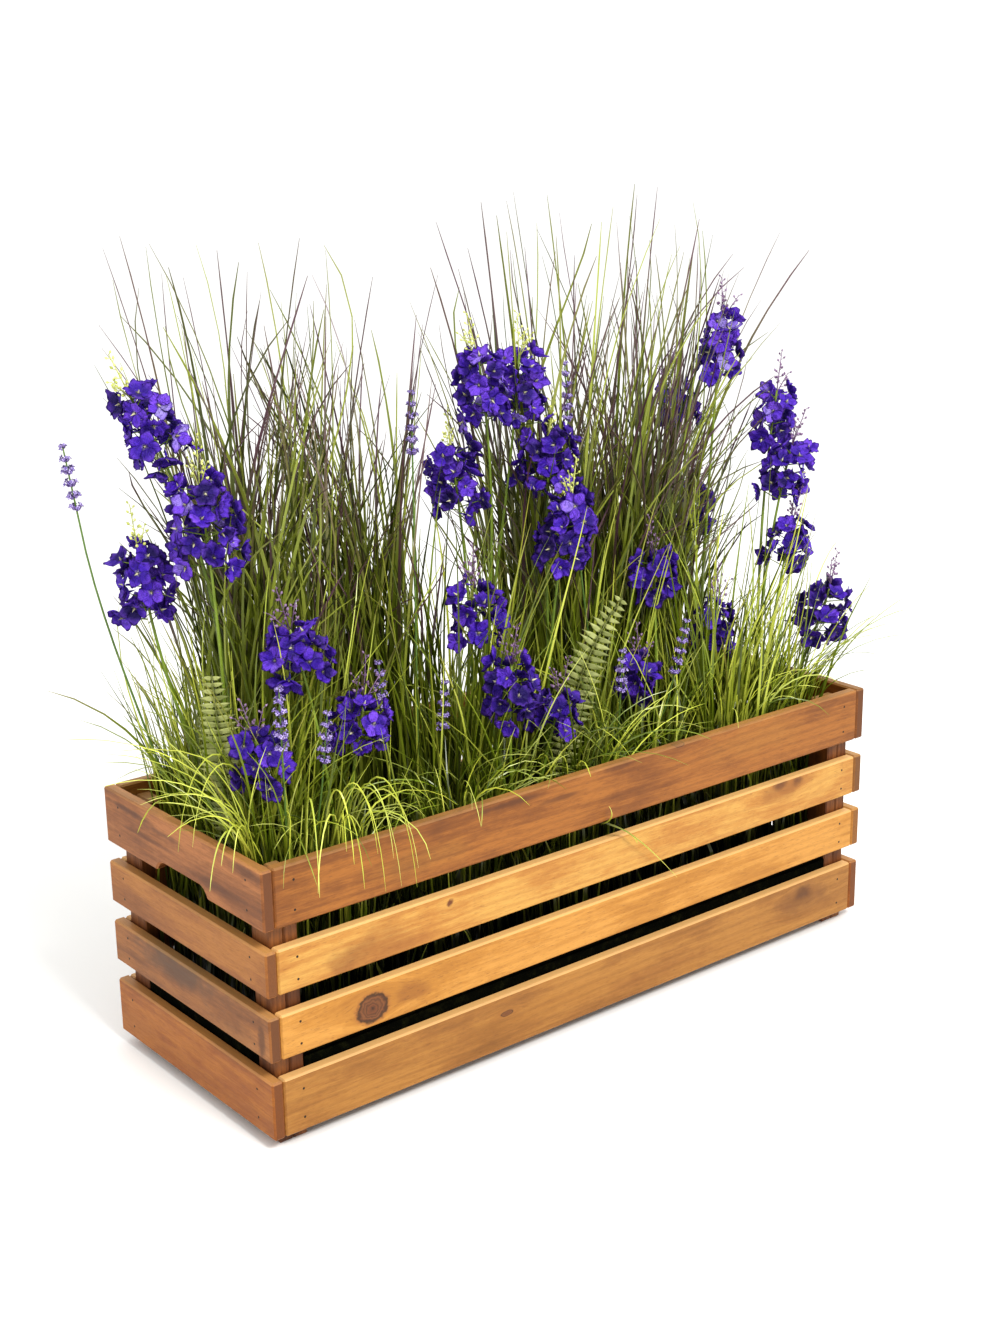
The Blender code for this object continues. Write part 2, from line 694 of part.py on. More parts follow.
def clear_of_crate(path, margin):
    """True where a path is inside the crate, above its rim or a short way outside, off the hand-holds."""
    if np.abs(path[:, 0]).max() > REACH_X or np.abs(path[:, 1]).max() > REACH_Y:
        return False
    points = np.concatenate(
        [start + (end - start) * np.linspace(0, 1, 48)[:, None] for start, end in zip(path[:-1], path[1:])]
    )
    x, y, z = np.abs(points[:, 0]), np.abs(points[:, 1]), points[:, 2]
    inside = (x < INNER_X - margin) & (y < INNER_Y - margin)
    at_battens = (x > BATTENS_END_X - margin) & (y > BATTENS_END_Y - margin) & (z < HEIGHT)
    above = z > HEIGHT + margin
    outside = (x > LENGTH / 2 + margin) | (y > DEPTH / 2 + margin)
    at_fingers = (x > LENGTH / 2 - BOARD - FINGER_DEPTH) & (x < LENGTH / 2 + FINGER_DEPTH)
    at_fingers &= (y < FINGER_HALF_WIDTH) & (z > FINGER_LOW) & (z < FINGER_HIGH)
    return bool(((inside & ~at_battens) | above | outside).all() and not at_fingers.any())


# Plants: each is a list of pieces (points, faces, material number) that one union joins


def join(name, root, crown_radius, pieces, material_names):
    """Joins a plant's pieces to its crown with one Boolean union."""
    x, y = root
    mesh = crown_mesh(name, crown_radius, CROWN_SUNK, CROWN_PROUD)
    plant = add_object(name, mesh, material_names)
    plant.location = (x, y, BED_TOP)
    shapes = bpy.data.collections.new(f"{name}_pieces")
    bpy.context.scene.collection.children.link(shapes)
    for points, faces, material_number in pieces:
        piece_mesh = bpy.data.meshes.new("piece")
        piece_mesh.from_pydata(points.tolist(), [], faces)
        piece_mesh.polygons.foreach_set("material_index", [material_number] * len(faces))
        shapes.objects.link(bpy.data.objects.new("piece", piece_mesh))
    union = plant.modifiers.new("union", "BOOLEAN")
    union.operation = "UNION"
    union.operand_type = "COLLECTION"
    union.collection = shapes
    for solver in ("EXACT", "MANIFOLD"):
        union.solver = solver
        bpy.context.view_layer.update()
        graph = bpy.context.evaluated_depsgraph_get()
        joined = bpy.data.meshes.new_from_object(plant.evaluated_get(graph))
        if is_closed(joined):
            break
    joined.name = name
    plant.modifiers.clear()
    plant.data = joined
    for piece in list(shapes.objects):
        bpy.data.objects.remove(piece, do_unlink=True)
    bpy.data.collections.remove(shapes)
    return plant


def is_closed(mesh):
    """True where each edge of the triangulated and welded mesh has two faces."""
    bm = bmesh.new()
    bm.from_mesh(mesh)
    bmesh.ops.triangulate(bm, faces=bm.faces[:])
    bmesh.ops.remove_doubles(bm, verts=bm.verts[:], dist=WELD)
    closed = all(len(edge.link_faces) == 2 for edge in bm.edges)
    bm.free()
    return closed


def crown_top(root):
    return np.array([*root, BED_TOP + CROWN_PROUD])


def floret_head(centre, axis, width, height, owner):
    """A head of florets in a spiral round a core, with a spray of buds at its top."""
    pieces = [(*ball(centre, axis, 0.21 * width, 0.52 * height), 1)]
    SPACE.take(np.array([centre - 0.4 * height * axis, centre + 0.4 * height * axis]), 0.25 * width, owner)
    first = np.cross(axis, (0.0, 1.0, 0.0))
    first /= np.linalg.norm(first)
    second = np.cross(axis, first)
    golden = math.pi * (3 - math.sqrt(5))
    start = DRAW.uniform(0, 2 * math.pi)
    florets = int(np.clip(round(math.pi * width * height / AREA_PER_FLORET), 5, 10))
    for number in range(florets):
        share = (number + 0.5) / florets
        around = start + golden * number
        spoke = math.cos(around) * first + math.sin(around) * second
        lift = math.radians(-14 + 62 * share)
        facing = math.cos(lift) * spoke + math.sin(lift) * axis
        on_axis = centre + (share - 0.5) * 0.80 * height * axis
        reach = (0.5 * width - 0.45 * FLORET_RADIUS) * (1.0 - 0.25 * share)
        middle = on_axis + reach * spoke
        back = on_axis - 0.2 * reach * spoke
        turn = DRAW.uniform(0, 2 * math.pi)
        front = middle + 0.0012 * facing
        pieces.append((*lobed_star(middle, front, back, facing, FLORET_RADIUS, 5, turn), 1))
        SPACE.take(np.array([middle, middle + 0.001 * facing]), 0.95 * FLORET_RADIUS, owner)
    tip = centre + 0.42 * height * axis
    for number in range(BUDS):
        around = start + 2 * math.pi * number / BUDS
        spread = 0.0 if number == 0 else 0.60
        aim = axis + spread * (math.cos(around) * first + math.sin(around) * second)
        aim /= np.linalg.norm(aim)
        length = 0.040 if number == 0 else 0.028
        path = tip + length * aim * np.array([[0.0], [0.72], [1.0]])
        pieces.append((*bent_needle(path, (0.0016, 0.0042, 0), (0.0016, 0.0042, 0), first), 2))
        SPACE.take(path, 0.0022, owner)
    return pieces


def make_larkspur(name, root, heads, owner):
    pieces = []
    top = crown_top(root)
    for number, (centre, lean, width, height) in enumerate(heads):
        around = 2 * math.pi * number / len(heads)
        centre = np.array(centre)
        axis = np.array([*lean, 1.0])
        axis /= np.linalg.norm(axis)
        pieces += floret_head(centre, axis, width, height, owner)
        start = top + (0.004 * math.cos(around), 0.004 * math.sin(around), -ROOT_DEPTH)
        path = stem_path(start, centre, axis, 4)
        widths = [2 * STEM_RADIUS * (1 - 0.25 * ring / 4) for ring in range(4)] + [0.0]
        pieces.append((*bent_needle(path, widths, widths, np.array([0.0, 1.0, 0.0])), 0))
        SPACE.take(path, STEM_RADIUS, owner)
    return pieces


def make_lavender(name, root, spikes, owner):
    pieces = []
    top = crown_top(root)
    for number, (top_of_spike, whorls) in enumerate(spikes):
        around = 2 * math.pi * number / len(spikes)
        start = top + (0.0025 * math.cos(around), 0.0025 * math.sin(around), -ROOT_DEPTH)
        axis = np.array(top_of_spike) - start
        axis[2] *= 1.6
        axis /= np.linalg.norm(axis)
        tip = np.array(top_of_spike) - WHORL_PITCH * whorls * axis
        path = stem_path(start, tip, axis, 5)
        widths = [2 * LAVENDER_STEM * (1 - 0.3 * ring / 5) for ring in range(5)] + [0.0]
        pieces.append((*bent_needle(path, widths, widths, np.array([0.0, 1.0, 0.0])), 0))
        SPACE.take(path, LAVENDER_STEM, owner)
        along = path[-1] - path[-2]
        along /= np.linalg.norm(along)
        top_of_spike = tip + WHORL_PITCH * whorls * along
        pieces.append((*whorled_spike(top_of_spike, along, whorls), 1))
        SPACE.take(np.array([tip, top_of_spike]), WHORL_RADIUS, owner)
    return pieces


def make_fern(name, root, direction, length, lean, tip_lean, owner):
    """A frond: pairs of leaflets on a rib, longest a third of the way up and small at the tip."""
    pieces = []
    start = crown_top(root) - (0.0, 0.0, ROOT_DEPTH)
    rib = grass_path(start, direction, length, lean, tip_lean, 2.0, 6)
    facing = math.radians(FERN_FACING)
    side = np.array([math.cos(facing), math.sin(facing), 0.0])
    widths = [0.0032, 0.0031, 0.0030, 0.0028, 0.0026, 0.0022, 0.0]
    pieces.append((*bent_needle(rib, widths, widths, side), 0))
    SPACE.take(rib, 0.0015, owner)
    for leaflet in range(2 * FERN_PAIRS):
        grown = leaflet / (2 * FERN_PAIRS - 1)
        share = 0.50 + 0.46 * grown
        place = share * 6
        ring = min(int(place), 5)
        on_rib = rib[ring] + (place - ring) * (rib[ring + 1] - rib[ring])
        along = rib[ring + 1] - rib[ring]
        along /= np.linalg.norm(along)
        size = math.sin(math.pi * (0.16 + 0.76 * grown))
        across = side - (side @ along) * along
        aim = (-1) ** leaflet * across / np.linalg.norm(across) + 0.35 * along
        aim /= np.linalg.norm(aim)
        reach = 0.004 + LEAFLET_LENGTH * size
        path = on_rib + np.array([[0.0], [0.45 * reach], [reach]]) * aim
        leaf_widths = (0.0010, LEAFLET_WIDTH * (0.45 + 0.55 * size), 0)
        leaf_depths = (0.0006, LEAFLET_THICKNESS, 0)
        pieces.append((*bent_needle(path, leaf_widths, leaf_depths, along), 0))
        SPACE.take(path, 0.0042, owner)
    return pieces


def root_spot(style, number, count):
    """Place of a blade's root on the crown: even spots on a golden-angle spiral."""
    out = 0.80 * style["crown"] * math.sqrt((number + 0.5) / count)
    around = number * math.pi * (3 - math.sqrt(5))
    return out, around


def blade(style, root, spot, direction, length, lean, tip_lean, owner):
    """One grass blade from its spot on the crown, or None where something else is in its way."""
    heading = math.radians(direction)
    out, around = spot
    offset = (out * math.cos(around), out * math.sin(around), -ROOT_DEPTH)
    rings = 2 if tip_lean - lean < STRAIGHT_LEAN else style["rings"]
    path = grass_path(
        crown_top(root) + offset, direction, length, lean, tip_lean, style["bend"], rings, style["rise"]
    )
    half = style["width"] / 2
    if not clear_of_crate(path, half + CLEARANCE):
        return None
    for part in range(len(path) - 1):
        if SPACE.gap(path[part], path[part + 1], half, owner) < CLEARANCE:
            return None
    shares = [(1 - (ring / rings) ** 2.2) for ring in range(rings + 1)]
    widths = [style["width"] * max(share, 0.35) for share in shares[:-1]] + [0.0]
    thicknesses = [style["thickness"]] * rings + [0.0]
    side = np.array([-math.sin(heading), math.cos(heading), 0.0])
    return path, bent_needle(path, widths, thicknesses, side)


def make_grass(name, style, root, count, lengths, leans, tip_leans, directions, owner):
    """Named outer blades first, then random ones, each drawn again while its way is blocked."""
    pieces = []
    centre, spread = directions
    spots = [root_spot(style, number, count) for number in range(count)]

    def grow(made):
        if made is None:
            return False
        path, shape = made
        pieces.append((*shape, 0))
        SPACE.take(path, style["width"] / 2, owner)
        return True

    for clump, direction, length, lean, tip_lean in OUTER_BLADES:
        if clump != name:
            continue
        nearest = sorted(spots, key=lambda spot: -spot[0] * math.cos(spot[1] - math.radians(direction)))
        for nudge in range(40):
            turned = direction + (nudge + 1) // 2 * (-1) ** nudge * 1.5
            spot = nearest[min(nudge // 20, len(nearest) - 1)]
            if grow(blade(style, root, spot, turned, length, lean, tip_lean, owner)):
                spots.remove(spot)
                break
        else:
            print("outer blade blocked", name, direction)
    for spot in spots:
        outward = (math.degrees(spot[1]) - centre + 180) % 360 - 180
        for _ in range(BLADE_TRIES):
            direction = centre + spread * (outward / 180 + DRAW.normal(0, 0.12))
            drawn = (DRAW.uniform(*lengths), DRAW.uniform(*leans), DRAW.uniform(*tip_leans))
            if grow(blade(style, root, spot, direction, *drawn, owner)):
                break
    return pieces


def crown_shape(root, radius, owner):
    foot = np.array([*root, BED_TOP - CROWN_SUNK])
    SPACE.take(np.array([foot, crown_top(root)]), radius, owner, crown=True)


def make_plants():
    """Flowers and fronds stand where they are placed; the grasses grow round them."""
    plants = []
    for name, (root, heads) in LARKSPUR.items():
        plants.append((name, root, LARKSPUR_CROWN, ["stem_green", "larkspur_violet", "stem_green"]))
    for name, (root, spikes) in LAVENDER.items():
        plants.append((name, root, LAVENDER_CROWN, ["stem_green", "lavender_lilac"]))
    for name, (root, *_) in FERNS.items():
        plants.append((name, root, FERN_CROWN, ["fern_sage"]))
    colours = {id(TUSSOCK): "grass_dark", id(CLUMP): "grass_green", id(TUFT): "grass_bright"}
    for name, style, root, *_ in GRASSES:
        plants.append((name, root, style["crown"], [colours[id(style)]]))
    owners = {name: number for number, (name, *_) in enumerate(plants)}
    for name, root, radius, _ in plants:
        crown_shape(root, radius, owners[name])
    pieces = {}
    for name, (root, heads) in LARKSPUR.items():
        pieces[name] = make_larkspur(name, root, heads, owners[name])
    for name, (root, spikes) in LAVENDER.items():
        pieces[name] = make_lavender(name, root, spikes, owners[name])
    for name, (root, direction, length, lean, tip_lean) in FERNS.items():
        pieces[name] = make_fern(name, root, direction, length, lean, tip_lean, owners[name])
    for name, style, root, count, lengths, leans, tip_leans, directions in GRASSES:
        pieces[name] = make_grass(
            name, style, root, count, lengths, leans, tip_leans, directions, owners[name]
        )
    for name, root, radius, material_names in plants:
        local = [
            (points - (root[0], root[1], BED_TOP), faces, number) for points, faces, number in pieces[name]
        ]
        plant = join(name, root, radius, place_pieces(local, root), material_names)
        print(name, len(pieces[name]), "pieces", len(plant.data.polygons), "faces")
    return [(root, radius) for _, root, radius, _ in plants]


def place_pieces(pieces, root):
    """Pieces go into the union in world space, where the crown's own object stands."""
    shift = np.array([*root, BED_TOP])
    return [(points + shift, faces, number) for points, faces, number in pieces]


make_sides()
make_battens()
make_floor()
make_bed(make_plants())
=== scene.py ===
# %% [markdown]
# # A slatted crate, planted with larkspur, lavender, fern and grasses
#
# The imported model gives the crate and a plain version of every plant. This lesson gives the crate
# its oiled wood and replaces each plain plant with a finer one that grows from the same root,
# reaches the same height and leans the same way.

# %% Load the frame
import math

import bpy
import numpy as np
from mathutils import Matrix, Vector


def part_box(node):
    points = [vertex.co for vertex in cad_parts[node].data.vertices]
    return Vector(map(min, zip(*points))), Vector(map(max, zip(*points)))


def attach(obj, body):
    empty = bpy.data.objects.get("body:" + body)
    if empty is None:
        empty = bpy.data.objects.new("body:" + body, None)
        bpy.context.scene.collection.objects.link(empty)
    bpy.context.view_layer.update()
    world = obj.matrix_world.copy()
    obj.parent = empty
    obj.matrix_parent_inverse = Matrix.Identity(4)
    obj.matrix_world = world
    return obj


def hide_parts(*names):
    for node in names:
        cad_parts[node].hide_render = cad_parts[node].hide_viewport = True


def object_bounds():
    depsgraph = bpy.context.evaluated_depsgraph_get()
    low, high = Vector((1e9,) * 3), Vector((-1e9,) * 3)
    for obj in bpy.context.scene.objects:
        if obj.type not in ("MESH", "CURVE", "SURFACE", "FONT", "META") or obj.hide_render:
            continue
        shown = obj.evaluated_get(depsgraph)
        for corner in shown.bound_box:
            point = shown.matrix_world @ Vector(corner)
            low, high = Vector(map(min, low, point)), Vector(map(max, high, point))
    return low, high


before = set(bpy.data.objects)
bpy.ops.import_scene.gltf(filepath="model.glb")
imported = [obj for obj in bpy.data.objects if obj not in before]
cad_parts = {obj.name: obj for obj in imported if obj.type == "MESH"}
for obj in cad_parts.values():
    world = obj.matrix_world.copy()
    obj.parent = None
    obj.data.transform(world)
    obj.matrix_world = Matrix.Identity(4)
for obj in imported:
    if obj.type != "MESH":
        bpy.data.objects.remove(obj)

CAD_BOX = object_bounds()
MM = 0.001
print("nodes", len(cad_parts), "box", [[round(c, 3) for c in corner] for corner in CAD_BOX])

# %% [markdown]
# ## Colours and nodes
#
# A colour is written as the sRGB hex value that a paint chart would give. Blender's shaders work in
# linear light, so one function turns it. Node trees are long to write by hand. One small helper adds
# a node and gives one of its outputs: a socket takes a value, a colour or another node's output.

# %% Colour and node helpers
def linear(colour):
    """sRGB hex to linear: each channel over 0.04045 is ((c + 0.055) / 1.055) to the power 2.4."""
    channels = np.array([int(colour[place : place + 2], 16) for place in (1, 3, 5)]) / 255
    curved = np.where(channels > 0.04045, ((channels + 0.055) / 1.055) ** 2.4, channels / 12.92)
    return (*curved.tolist(), 1.0)


def add(tree, kind, sockets=None, out=0, stops=None, **settings):
    """Adds a node and returns one of its outputs.

    A socket's value that is an output is linked, and a hex value is turned to linear light. Stops fill
    a colour ramp.
    """
    node = tree.nodes.new("ShaderNode" + kind)
    for name, value in settings.items():
        setattr(node, name, value)
    for name, value in (sockets or {}).items():
        if isinstance(value, bpy.types.NodeSocket):
            tree.links.new(value, node.inputs[name])
        else:
            node.inputs[name].default_value = linear(value) if isinstance(value, str) else value
    if stops:
        ramp = node.color_ramp
        while len(ramp.elements) < len(stops):
            ramp.elements.new(0.5)
        for element, (place, colour) in zip(ramp.elements, stops):
            element.position = place
            element.color = linear(colour) if isinstance(colour, str) else (colour,) * 3 + (1.0,)
    return node.outputs[out] if len(node.outputs) else None


# A Mix node for colours takes them in its sockets 6 and 7 and gives the mixed one in its output 2.
COLOURS = {"out": 2, "data_type": "RGBA"}


def new_material(name):
    material = bpy.data.materials.new(name)
    material.use_nodes = True
    material.node_tree.nodes.clear()
    return material, material.node_tree


# %% [markdown]
# ## Camera
#
# The camera stands where the photographer did: in front of the crate's left corner, looking a little
# down. Its place came from the crate's corners in the photograph.

# %% Camera
CAMERA_PLACE = (-1.2028, -1.4767, 0.9382)
CAMERA_TURN = math.radians(-38.92)
CAMERA_DOWN = math.radians(17.18)
CAMERA_ROLL = math.radians(-0.83)
LENS = 52.16
SENSOR = 36.0


def place_camera():
    """The camera looks along -Z of its own frame; roll turns its right and up round that line."""
    forward = Vector((
        -math.sin(CAMERA_TURN) * math.cos(CAMERA_DOWN),
        math.cos(CAMERA_TURN) * math.cos(CAMERA_DOWN),
        -math.sin(CAMERA_DOWN),
    ))
    level = Vector((math.cos(CAMERA_TURN), math.sin(CAMERA_TURN), 0.0))
    up = level.cross(forward)
    right = math.cos(CAMERA_ROLL) * level + math.sin(CAMERA_ROLL) * up
    above = math.cos(CAMERA_ROLL) * up - math.sin(CAMERA_ROLL) * level
    data = bpy.data.cameras.new("camera")
    data.lens = LENS
    data.sensor_width = SENSOR
    camera = bpy.data.objects.new("camera", data)
    bpy.context.scene.collection.objects.link(camera)
    placed = Matrix((right, above, -forward)).transposed().to_4x4()
    placed.translation = Vector(CAMERA_PLACE)
    camera.matrix_world = placed
    bpy.context.scene.camera = camera


place_camera()
bpy.context.scene.view_settings.view_transform = "Standard"
bpy.context.scene.view_settings.look = "Medium High Contrast"

# %% [markdown]
# ## Floor and light
#
# The photograph has a white studio behind the crate. A wide pale floor and a white sky give that. One
# large soft lamp at the front right makes the long front the brightest side, and a weaker one on the
# left keeps the end board readable.

# %% Floor and light
FLOOR_REACH = 14.0


def make_floor():
    half = FLOOR_REACH
    mesh = bpy.data.meshes.new("studio_floor")
    mesh.from_pydata([(-half, -half, 0), (half, -half, 0), (half, half, 0), (-half, half, 0)], [], [(0, 1, 2, 3)])
    material, tree = new_material("matt_white_vinyl_floor")
    shader = add(tree, "BsdfPrincipled", {"Base Color": "#F4F4F2", "Roughness": 0.9})
    add(tree, "OutputMaterial", {"Surface": shader})
    mesh.materials.append(material)
    floor = bpy.data.objects.new("studio_floor", mesh)
    bpy.context.scene.collection.objects.link(floor)


def make_lamp(name, place, target, size, power):
    """A square lamp turned so that its -Z points from its place to the target."""
    data = bpy.data.lights.new(name, "AREA")
    data.size = size
    data.energy = power
    lamp = bpy.data.objects.new(name, data)
    bpy.context.scene.collection.objects.link(lamp)
    lamp.location = place
    lamp.rotation_euler = (Vector(target) - Vector(place)).to_track_quat("-Z", "Y").to_euler()


def make_world(strength):
    world = bpy.data.worlds.new("white_studio")
    world.use_nodes = True
    world.node_tree.nodes.clear()
    sky = add(world.node_tree, "Background", {"Color": "#FFFFFF", "Strength": strength})
    add(world.node_tree, "OutputWorld", {"Surface": sky})
    bpy.context.scene.world = world


make_floor()
make_world(1.0)
make_lamp("key", (-0.30, -2.3, 2.6), (0.0, 0.0, 0.25), 0.8, 74)
make_lamp("fill", (-2.8, -0.6, 1.4), (0.0, 0.0, 0.3), 1.4, 3)

# %% [markdown]
# ## Sizes of the crate
#
# The plants have to stay inside the boards until they are above the rim, so the crate's own sizes are
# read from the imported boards.

# %% Sizes
RIM_LOW, RIM_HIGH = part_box("board_front_top")
END_LOW, END_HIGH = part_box("board_left_top")
BATTEN_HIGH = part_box("batten_left_front_side")[1]
HEIGHT = RIM_HIGH.z
OUTER_X, INNER_X = -END_LOW.x, -END_HIGH.x
OUTER_Y, INNER_Y = -RIM_LOW.y, -RIM_HIGH.y
BATTENS_X, BATTENS_Y = -BATTEN_HIGH.x, -BATTEN_HIGH.y
BED_TOP = 0.084
ROOT_Z = BED_TOP - 0.004
# No grass blade reaches further than this from the middle, or higher.
REACH_X, REACH_Y, REACH_Z = 0.515, 0.203, 0.825
# Room for fingers in a hand-hold: inwards and outwards of the end board, to either side, and in height.
FINGERS_IN, FINGERS_OUT, FINGERS_Y, FINGERS_LOW, FINGERS_HIGH = 0.020, 0.030, 0.060, 0.190, 0.235
COURSES = ("bottom", "lower", "upper", "top")
print("rim %.0f mm, inside %.0f x %.0f mm" % (HEIGHT / MM, 2 * INNER_X / MM, 2 * INNER_Y / MM))

# %% [markdown]
# ## Oiled acacia
#
# Acacia is sawn into boards and oiled, which deepens its colour and leaves a satin face. What the eye
# sees is a calm gold or brown, fine short pores along the grain, now and then a cloud of darker
# heartwood, and rings that bend round knots. A photograph of wood could be wrapped round the boards,
# but it would show its seams. Here each board has its own solid pattern, cut by its faces, so the
# figure runs over the edges as it does in real timber. A knot pulls the pattern's coordinates towards
# its own middle, which makes the grain flow round it.

# %% Wood
GRAIN_TURNS = {"x": (0.0, 0.0, 0.0), "y": (0.0, 0.0, -math.pi / 2), "z": (0.0, math.pi / 2, 0.0)}
GRAIN_AXES = {"x": (1.0, 0.0, 0.0), "y": (0.0, 1.0, 0.0), "z": (0.0, 0.0, 1.0)}
# Each pattern is drawn out along the grain by 1 / stretch. Its other numbers are the size of its lumps
# across the grain, its detail and its roughness.
GRAIN_NOISE = {
    "cloud": (0.40, 52 * MM, 6.0, 0.6),
    "streaks": (0.045, 8 * MM, 5.0, 0.76),
    "speckle": (0.30, 2.2 * MM, 3.0, 0.7),
    "fibres": (0.09, 1.3 * MM, 4.0, 0.7),
    "pores": (0.10, 0.9 * MM, 2.0, 0.6),
}
RING_SPACING, RING_STRETCH = 5.5 * MM, 0.10
WAVES_PER_UNIT = 20 / (2 * math.pi)
KNOT_WOBBLE, KNOT_RAGGED = 0.55, 6 * MM
CLOUD_WOBBLE, CLOUD_RAGGED = 1.6, 22 * MM
PULL, PULL_FADE = 0.8, 0.22
# The pores' dark brown, and the pale colour of the painted highlight that upward faces take for light from above.
PORE_BROWN, TOP_HIGHLIGHT = "#4E2A12", "#E6BA7C"
KNOT_RINGS = [(0.02, "#2A1409"), (0.07, "#583018"), (0.14, "#6A3C1E"), (0.19, "#4A2814"), (0.24, "#6E4222"),
              (0.30, "#522E17"), (0.35, "#744624"), (0.41, "#4A2813"), (0.47, "#281408"), (0.54, "#90592A")]


def distance_to(tree, where, grain, centre, half_long, half_high, wobble, size):
    """Length of the offset from a mark's centre in half sizes, 1 on its rim, with a ragged rim."""
    across = (1 / half_long, 0.0, 1 / half_high) if grain == "x" else (0.0, 1 / half_long, 1 / half_high)
    away = add(tree, "VectorMath", {0: where, 1: centre}, operation="SUBTRACT")
    scaled = add(tree, "VectorMath", {0: away, 1: across}, operation="MULTIPLY")
    length = add(tree, "VectorMath", {0: scaled}, "Value", operation="LENGTH")
    ragged = add(tree, "TexNoise", {"Vector": where, "Scale": 1 / size, "Detail": 4.0})
    ragged = add(tree, "Math", {0: ragged, 1: 0.5}, operation="SUBTRACT")
    return away, add(tree, "Math", {0: ragged, 1: wobble, 2: length}, operation="MULTIPLY_ADD")


def wood(name, tones, grain, offset, knots=(), clouds=(), end_grain=None, top_highlight_share=0.35):
    """tones are light, middle and dark. A knot is its middle, half length, half height and strength.
    A cloud has a colour before its strength. The last argument is how much painted highlight the upward faces take.

    A knot moves the pattern by its offset * PULL / (1 + PULL_FADE * distance^2).
    """
    light, middle, dark = tones
    material, tree = new_material(name)
    where = flow = add(tree, "TexCoord", out="Object")
    hearts = []
    for *knot, strength in knots:
        away, length = distance_to(tree, where, grain, *knot, KNOT_WOBBLE, KNOT_RAGGED)
        square = add(tree, "Math", {0: length, 1: 2.0}, operation="POWER")
        wide = add(tree, "Math", {0: square, 1: PULL_FADE, 2: 1.0}, operation="MULTIPLY_ADD")
        pull = add(tree, "Math", {0: PULL, 1: wide}, operation="DIVIDE")
        shift = add(tree, "VectorMath", {0: away, "Scale": pull}, operation="SCALE")
        flow = add(tree, "VectorMath", {0: flow, 1: shift}, operation="SUBTRACT")
        hearts.append((length, strength))
    turned = add(tree, "Mapping", {"Vector": flow, "Location": offset, "Rotation": GRAIN_TURNS[grain]})
    noise = {}
    for pattern, (stretch, size, detail, roughness) in GRAIN_NOISE.items():
        drawn = add(tree, "Mapping", {"Vector": turned, "Scale": (stretch, 1.0, 1.0)})
        noise[pattern] = add(
            tree, "TexNoise", {"Vector": drawn, "Scale": 1 / size, "Detail": detail, "Roughness": roughness}
        )
    drawn = add(tree, "Mapping", {"Vector": turned, "Scale": (RING_STRETCH, 1.0, 1.0)})
    rings = add(
        tree, "TexWave",
        {"Vector": drawn, "Scale": 1 / (WAVES_PER_UNIT * RING_SPACING), "Distortion": 7.0, "Detail": 3.0,
         "Detail Scale": 0.35, "Detail Roughness": 0.6},
        "Fac", wave_type="RINGS", rings_direction="X",
    )
    tone = add(tree, "Math", {0: noise["streaks"], 1: 0.70, 2: noise["cloud"]}, operation="MULTIPLY_ADD")
    tone = add(tree, "Math", {0: noise["speckle"], 1: 0.14, 2: tone}, operation="MULTIPLY_ADD")
    colour = add(tree, "ValToRGB", {"Fac": tone}, stops=[(0.67, dark), (0.87, middle), (1.0, light)])
    layers = []
    for *cloud, stain, strength in clouds:
        _, length = distance_to(tree, where, grain, *cloud, CLOUD_WOBBLE, min(CLOUD_RAGGED, cloud[1]))
        inside = {"Value": length, "From Min": 1.25, "From Max": 0.25, "To Max": strength}
        layers.append((add(tree, "MapRange", inside, interpolation_type="SMOOTHSTEP"), stain))
    layers.append((add(tree, "ValToRGB", {"Fac": rings}, stops=[(0.55, 0.0), (0.95, 0.25)]), dark))
    layers.append((add(tree, "ValToRGB", {"Fac": noise["fibres"]}, stops=[(0.34, 0.30), (0.56, 0.0)]), dark))
    for length, strength in hearts:
        half = add(tree, "Math", {0: length, 1: 0.5}, operation="MULTIPLY")
        heart = add(tree, "ValToRGB", {"Fac": half}, stops=KNOT_RINGS)
        inside = {"Value": length, "From Min": 1.30, "From Max": 0.85, "To Max": strength}
        layers.append((add(tree, "MapRange", inside, interpolation_type="SMOOTHSTEP"), heart))
    pored = add(tree, "ValToRGB", {"Fac": noise["pores"]}, stops=[(0.60, 0.0), (0.68, 0.30)])
    normal = add(tree, "NewGeometry", out="Normal")
    # Painted highlight: faces that look upwards are mixed towards a pale colour, standing in for light from above on
    # the boards' tops and edges.
    upward = add(tree, "SeparateXYZ", {0: normal}, "Z")
    painted_top_light = add(tree, "MapRange", {"Value": upward, "From Min": 0.35, "From Max": 0.9, "To Max": top_highlight_share})
    layers += [(pored, PORE_BROWN), (painted_top_light, TOP_HIGHLIGHT)]
    if end_grain:
        facing = add(tree, "VectorMath", {0: normal, 1: GRAIN_AXES[grain]}, "Value", operation="DOT_PRODUCT")
        facing = add(tree, "Math", {0: facing}, operation="ABSOLUTE")
        cut = add(tree, "MapRange", {"Value": facing, "From Min": 0.6, "From Max": 0.9})
        layers.append((cut, add(tree, "Mix", {"Factor": noise["speckle"], 6: end_grain, 7: dark}, **COLOURS)))
    for share, over in layers:
        colour = add(tree, "Mix", {"Factor": share, 6: colour, 7: over}, **COLOURS)
    rough = add(tree, "MapRange", {"Value": noise["fibres"], "To Min": 0.62, "To Max": 0.40})
    height = add(tree, "Math", {0: pored, 1: -1.0, 2: noise["fibres"]}, operation="MULTIPLY_ADD")
    bump = add(tree, "Bump", {"Height": height, "Strength": 0.4, "Distance": 0.3 * MM})
    shader = add(tree, "BsdfPrincipled", {"Base Color": colour, "Roughness": rough, "Normal": bump, "IOR": 1.46})
    add(tree, "OutputMaterial", {"Surface": shader})
    return material


# %% [markdown]
# ## The boards
#
# Sixteen boards come from different planks, so each has its own tones. The front's two middle courses
# are golden, with one large knot near the left end of the lower one. The top and bottom courses are
# browner. The crate's ends are brown too, and the sawn ends of their boards show as a dark strip at
# the corners. A board's marks are placed on its outer face: how far along and how high.

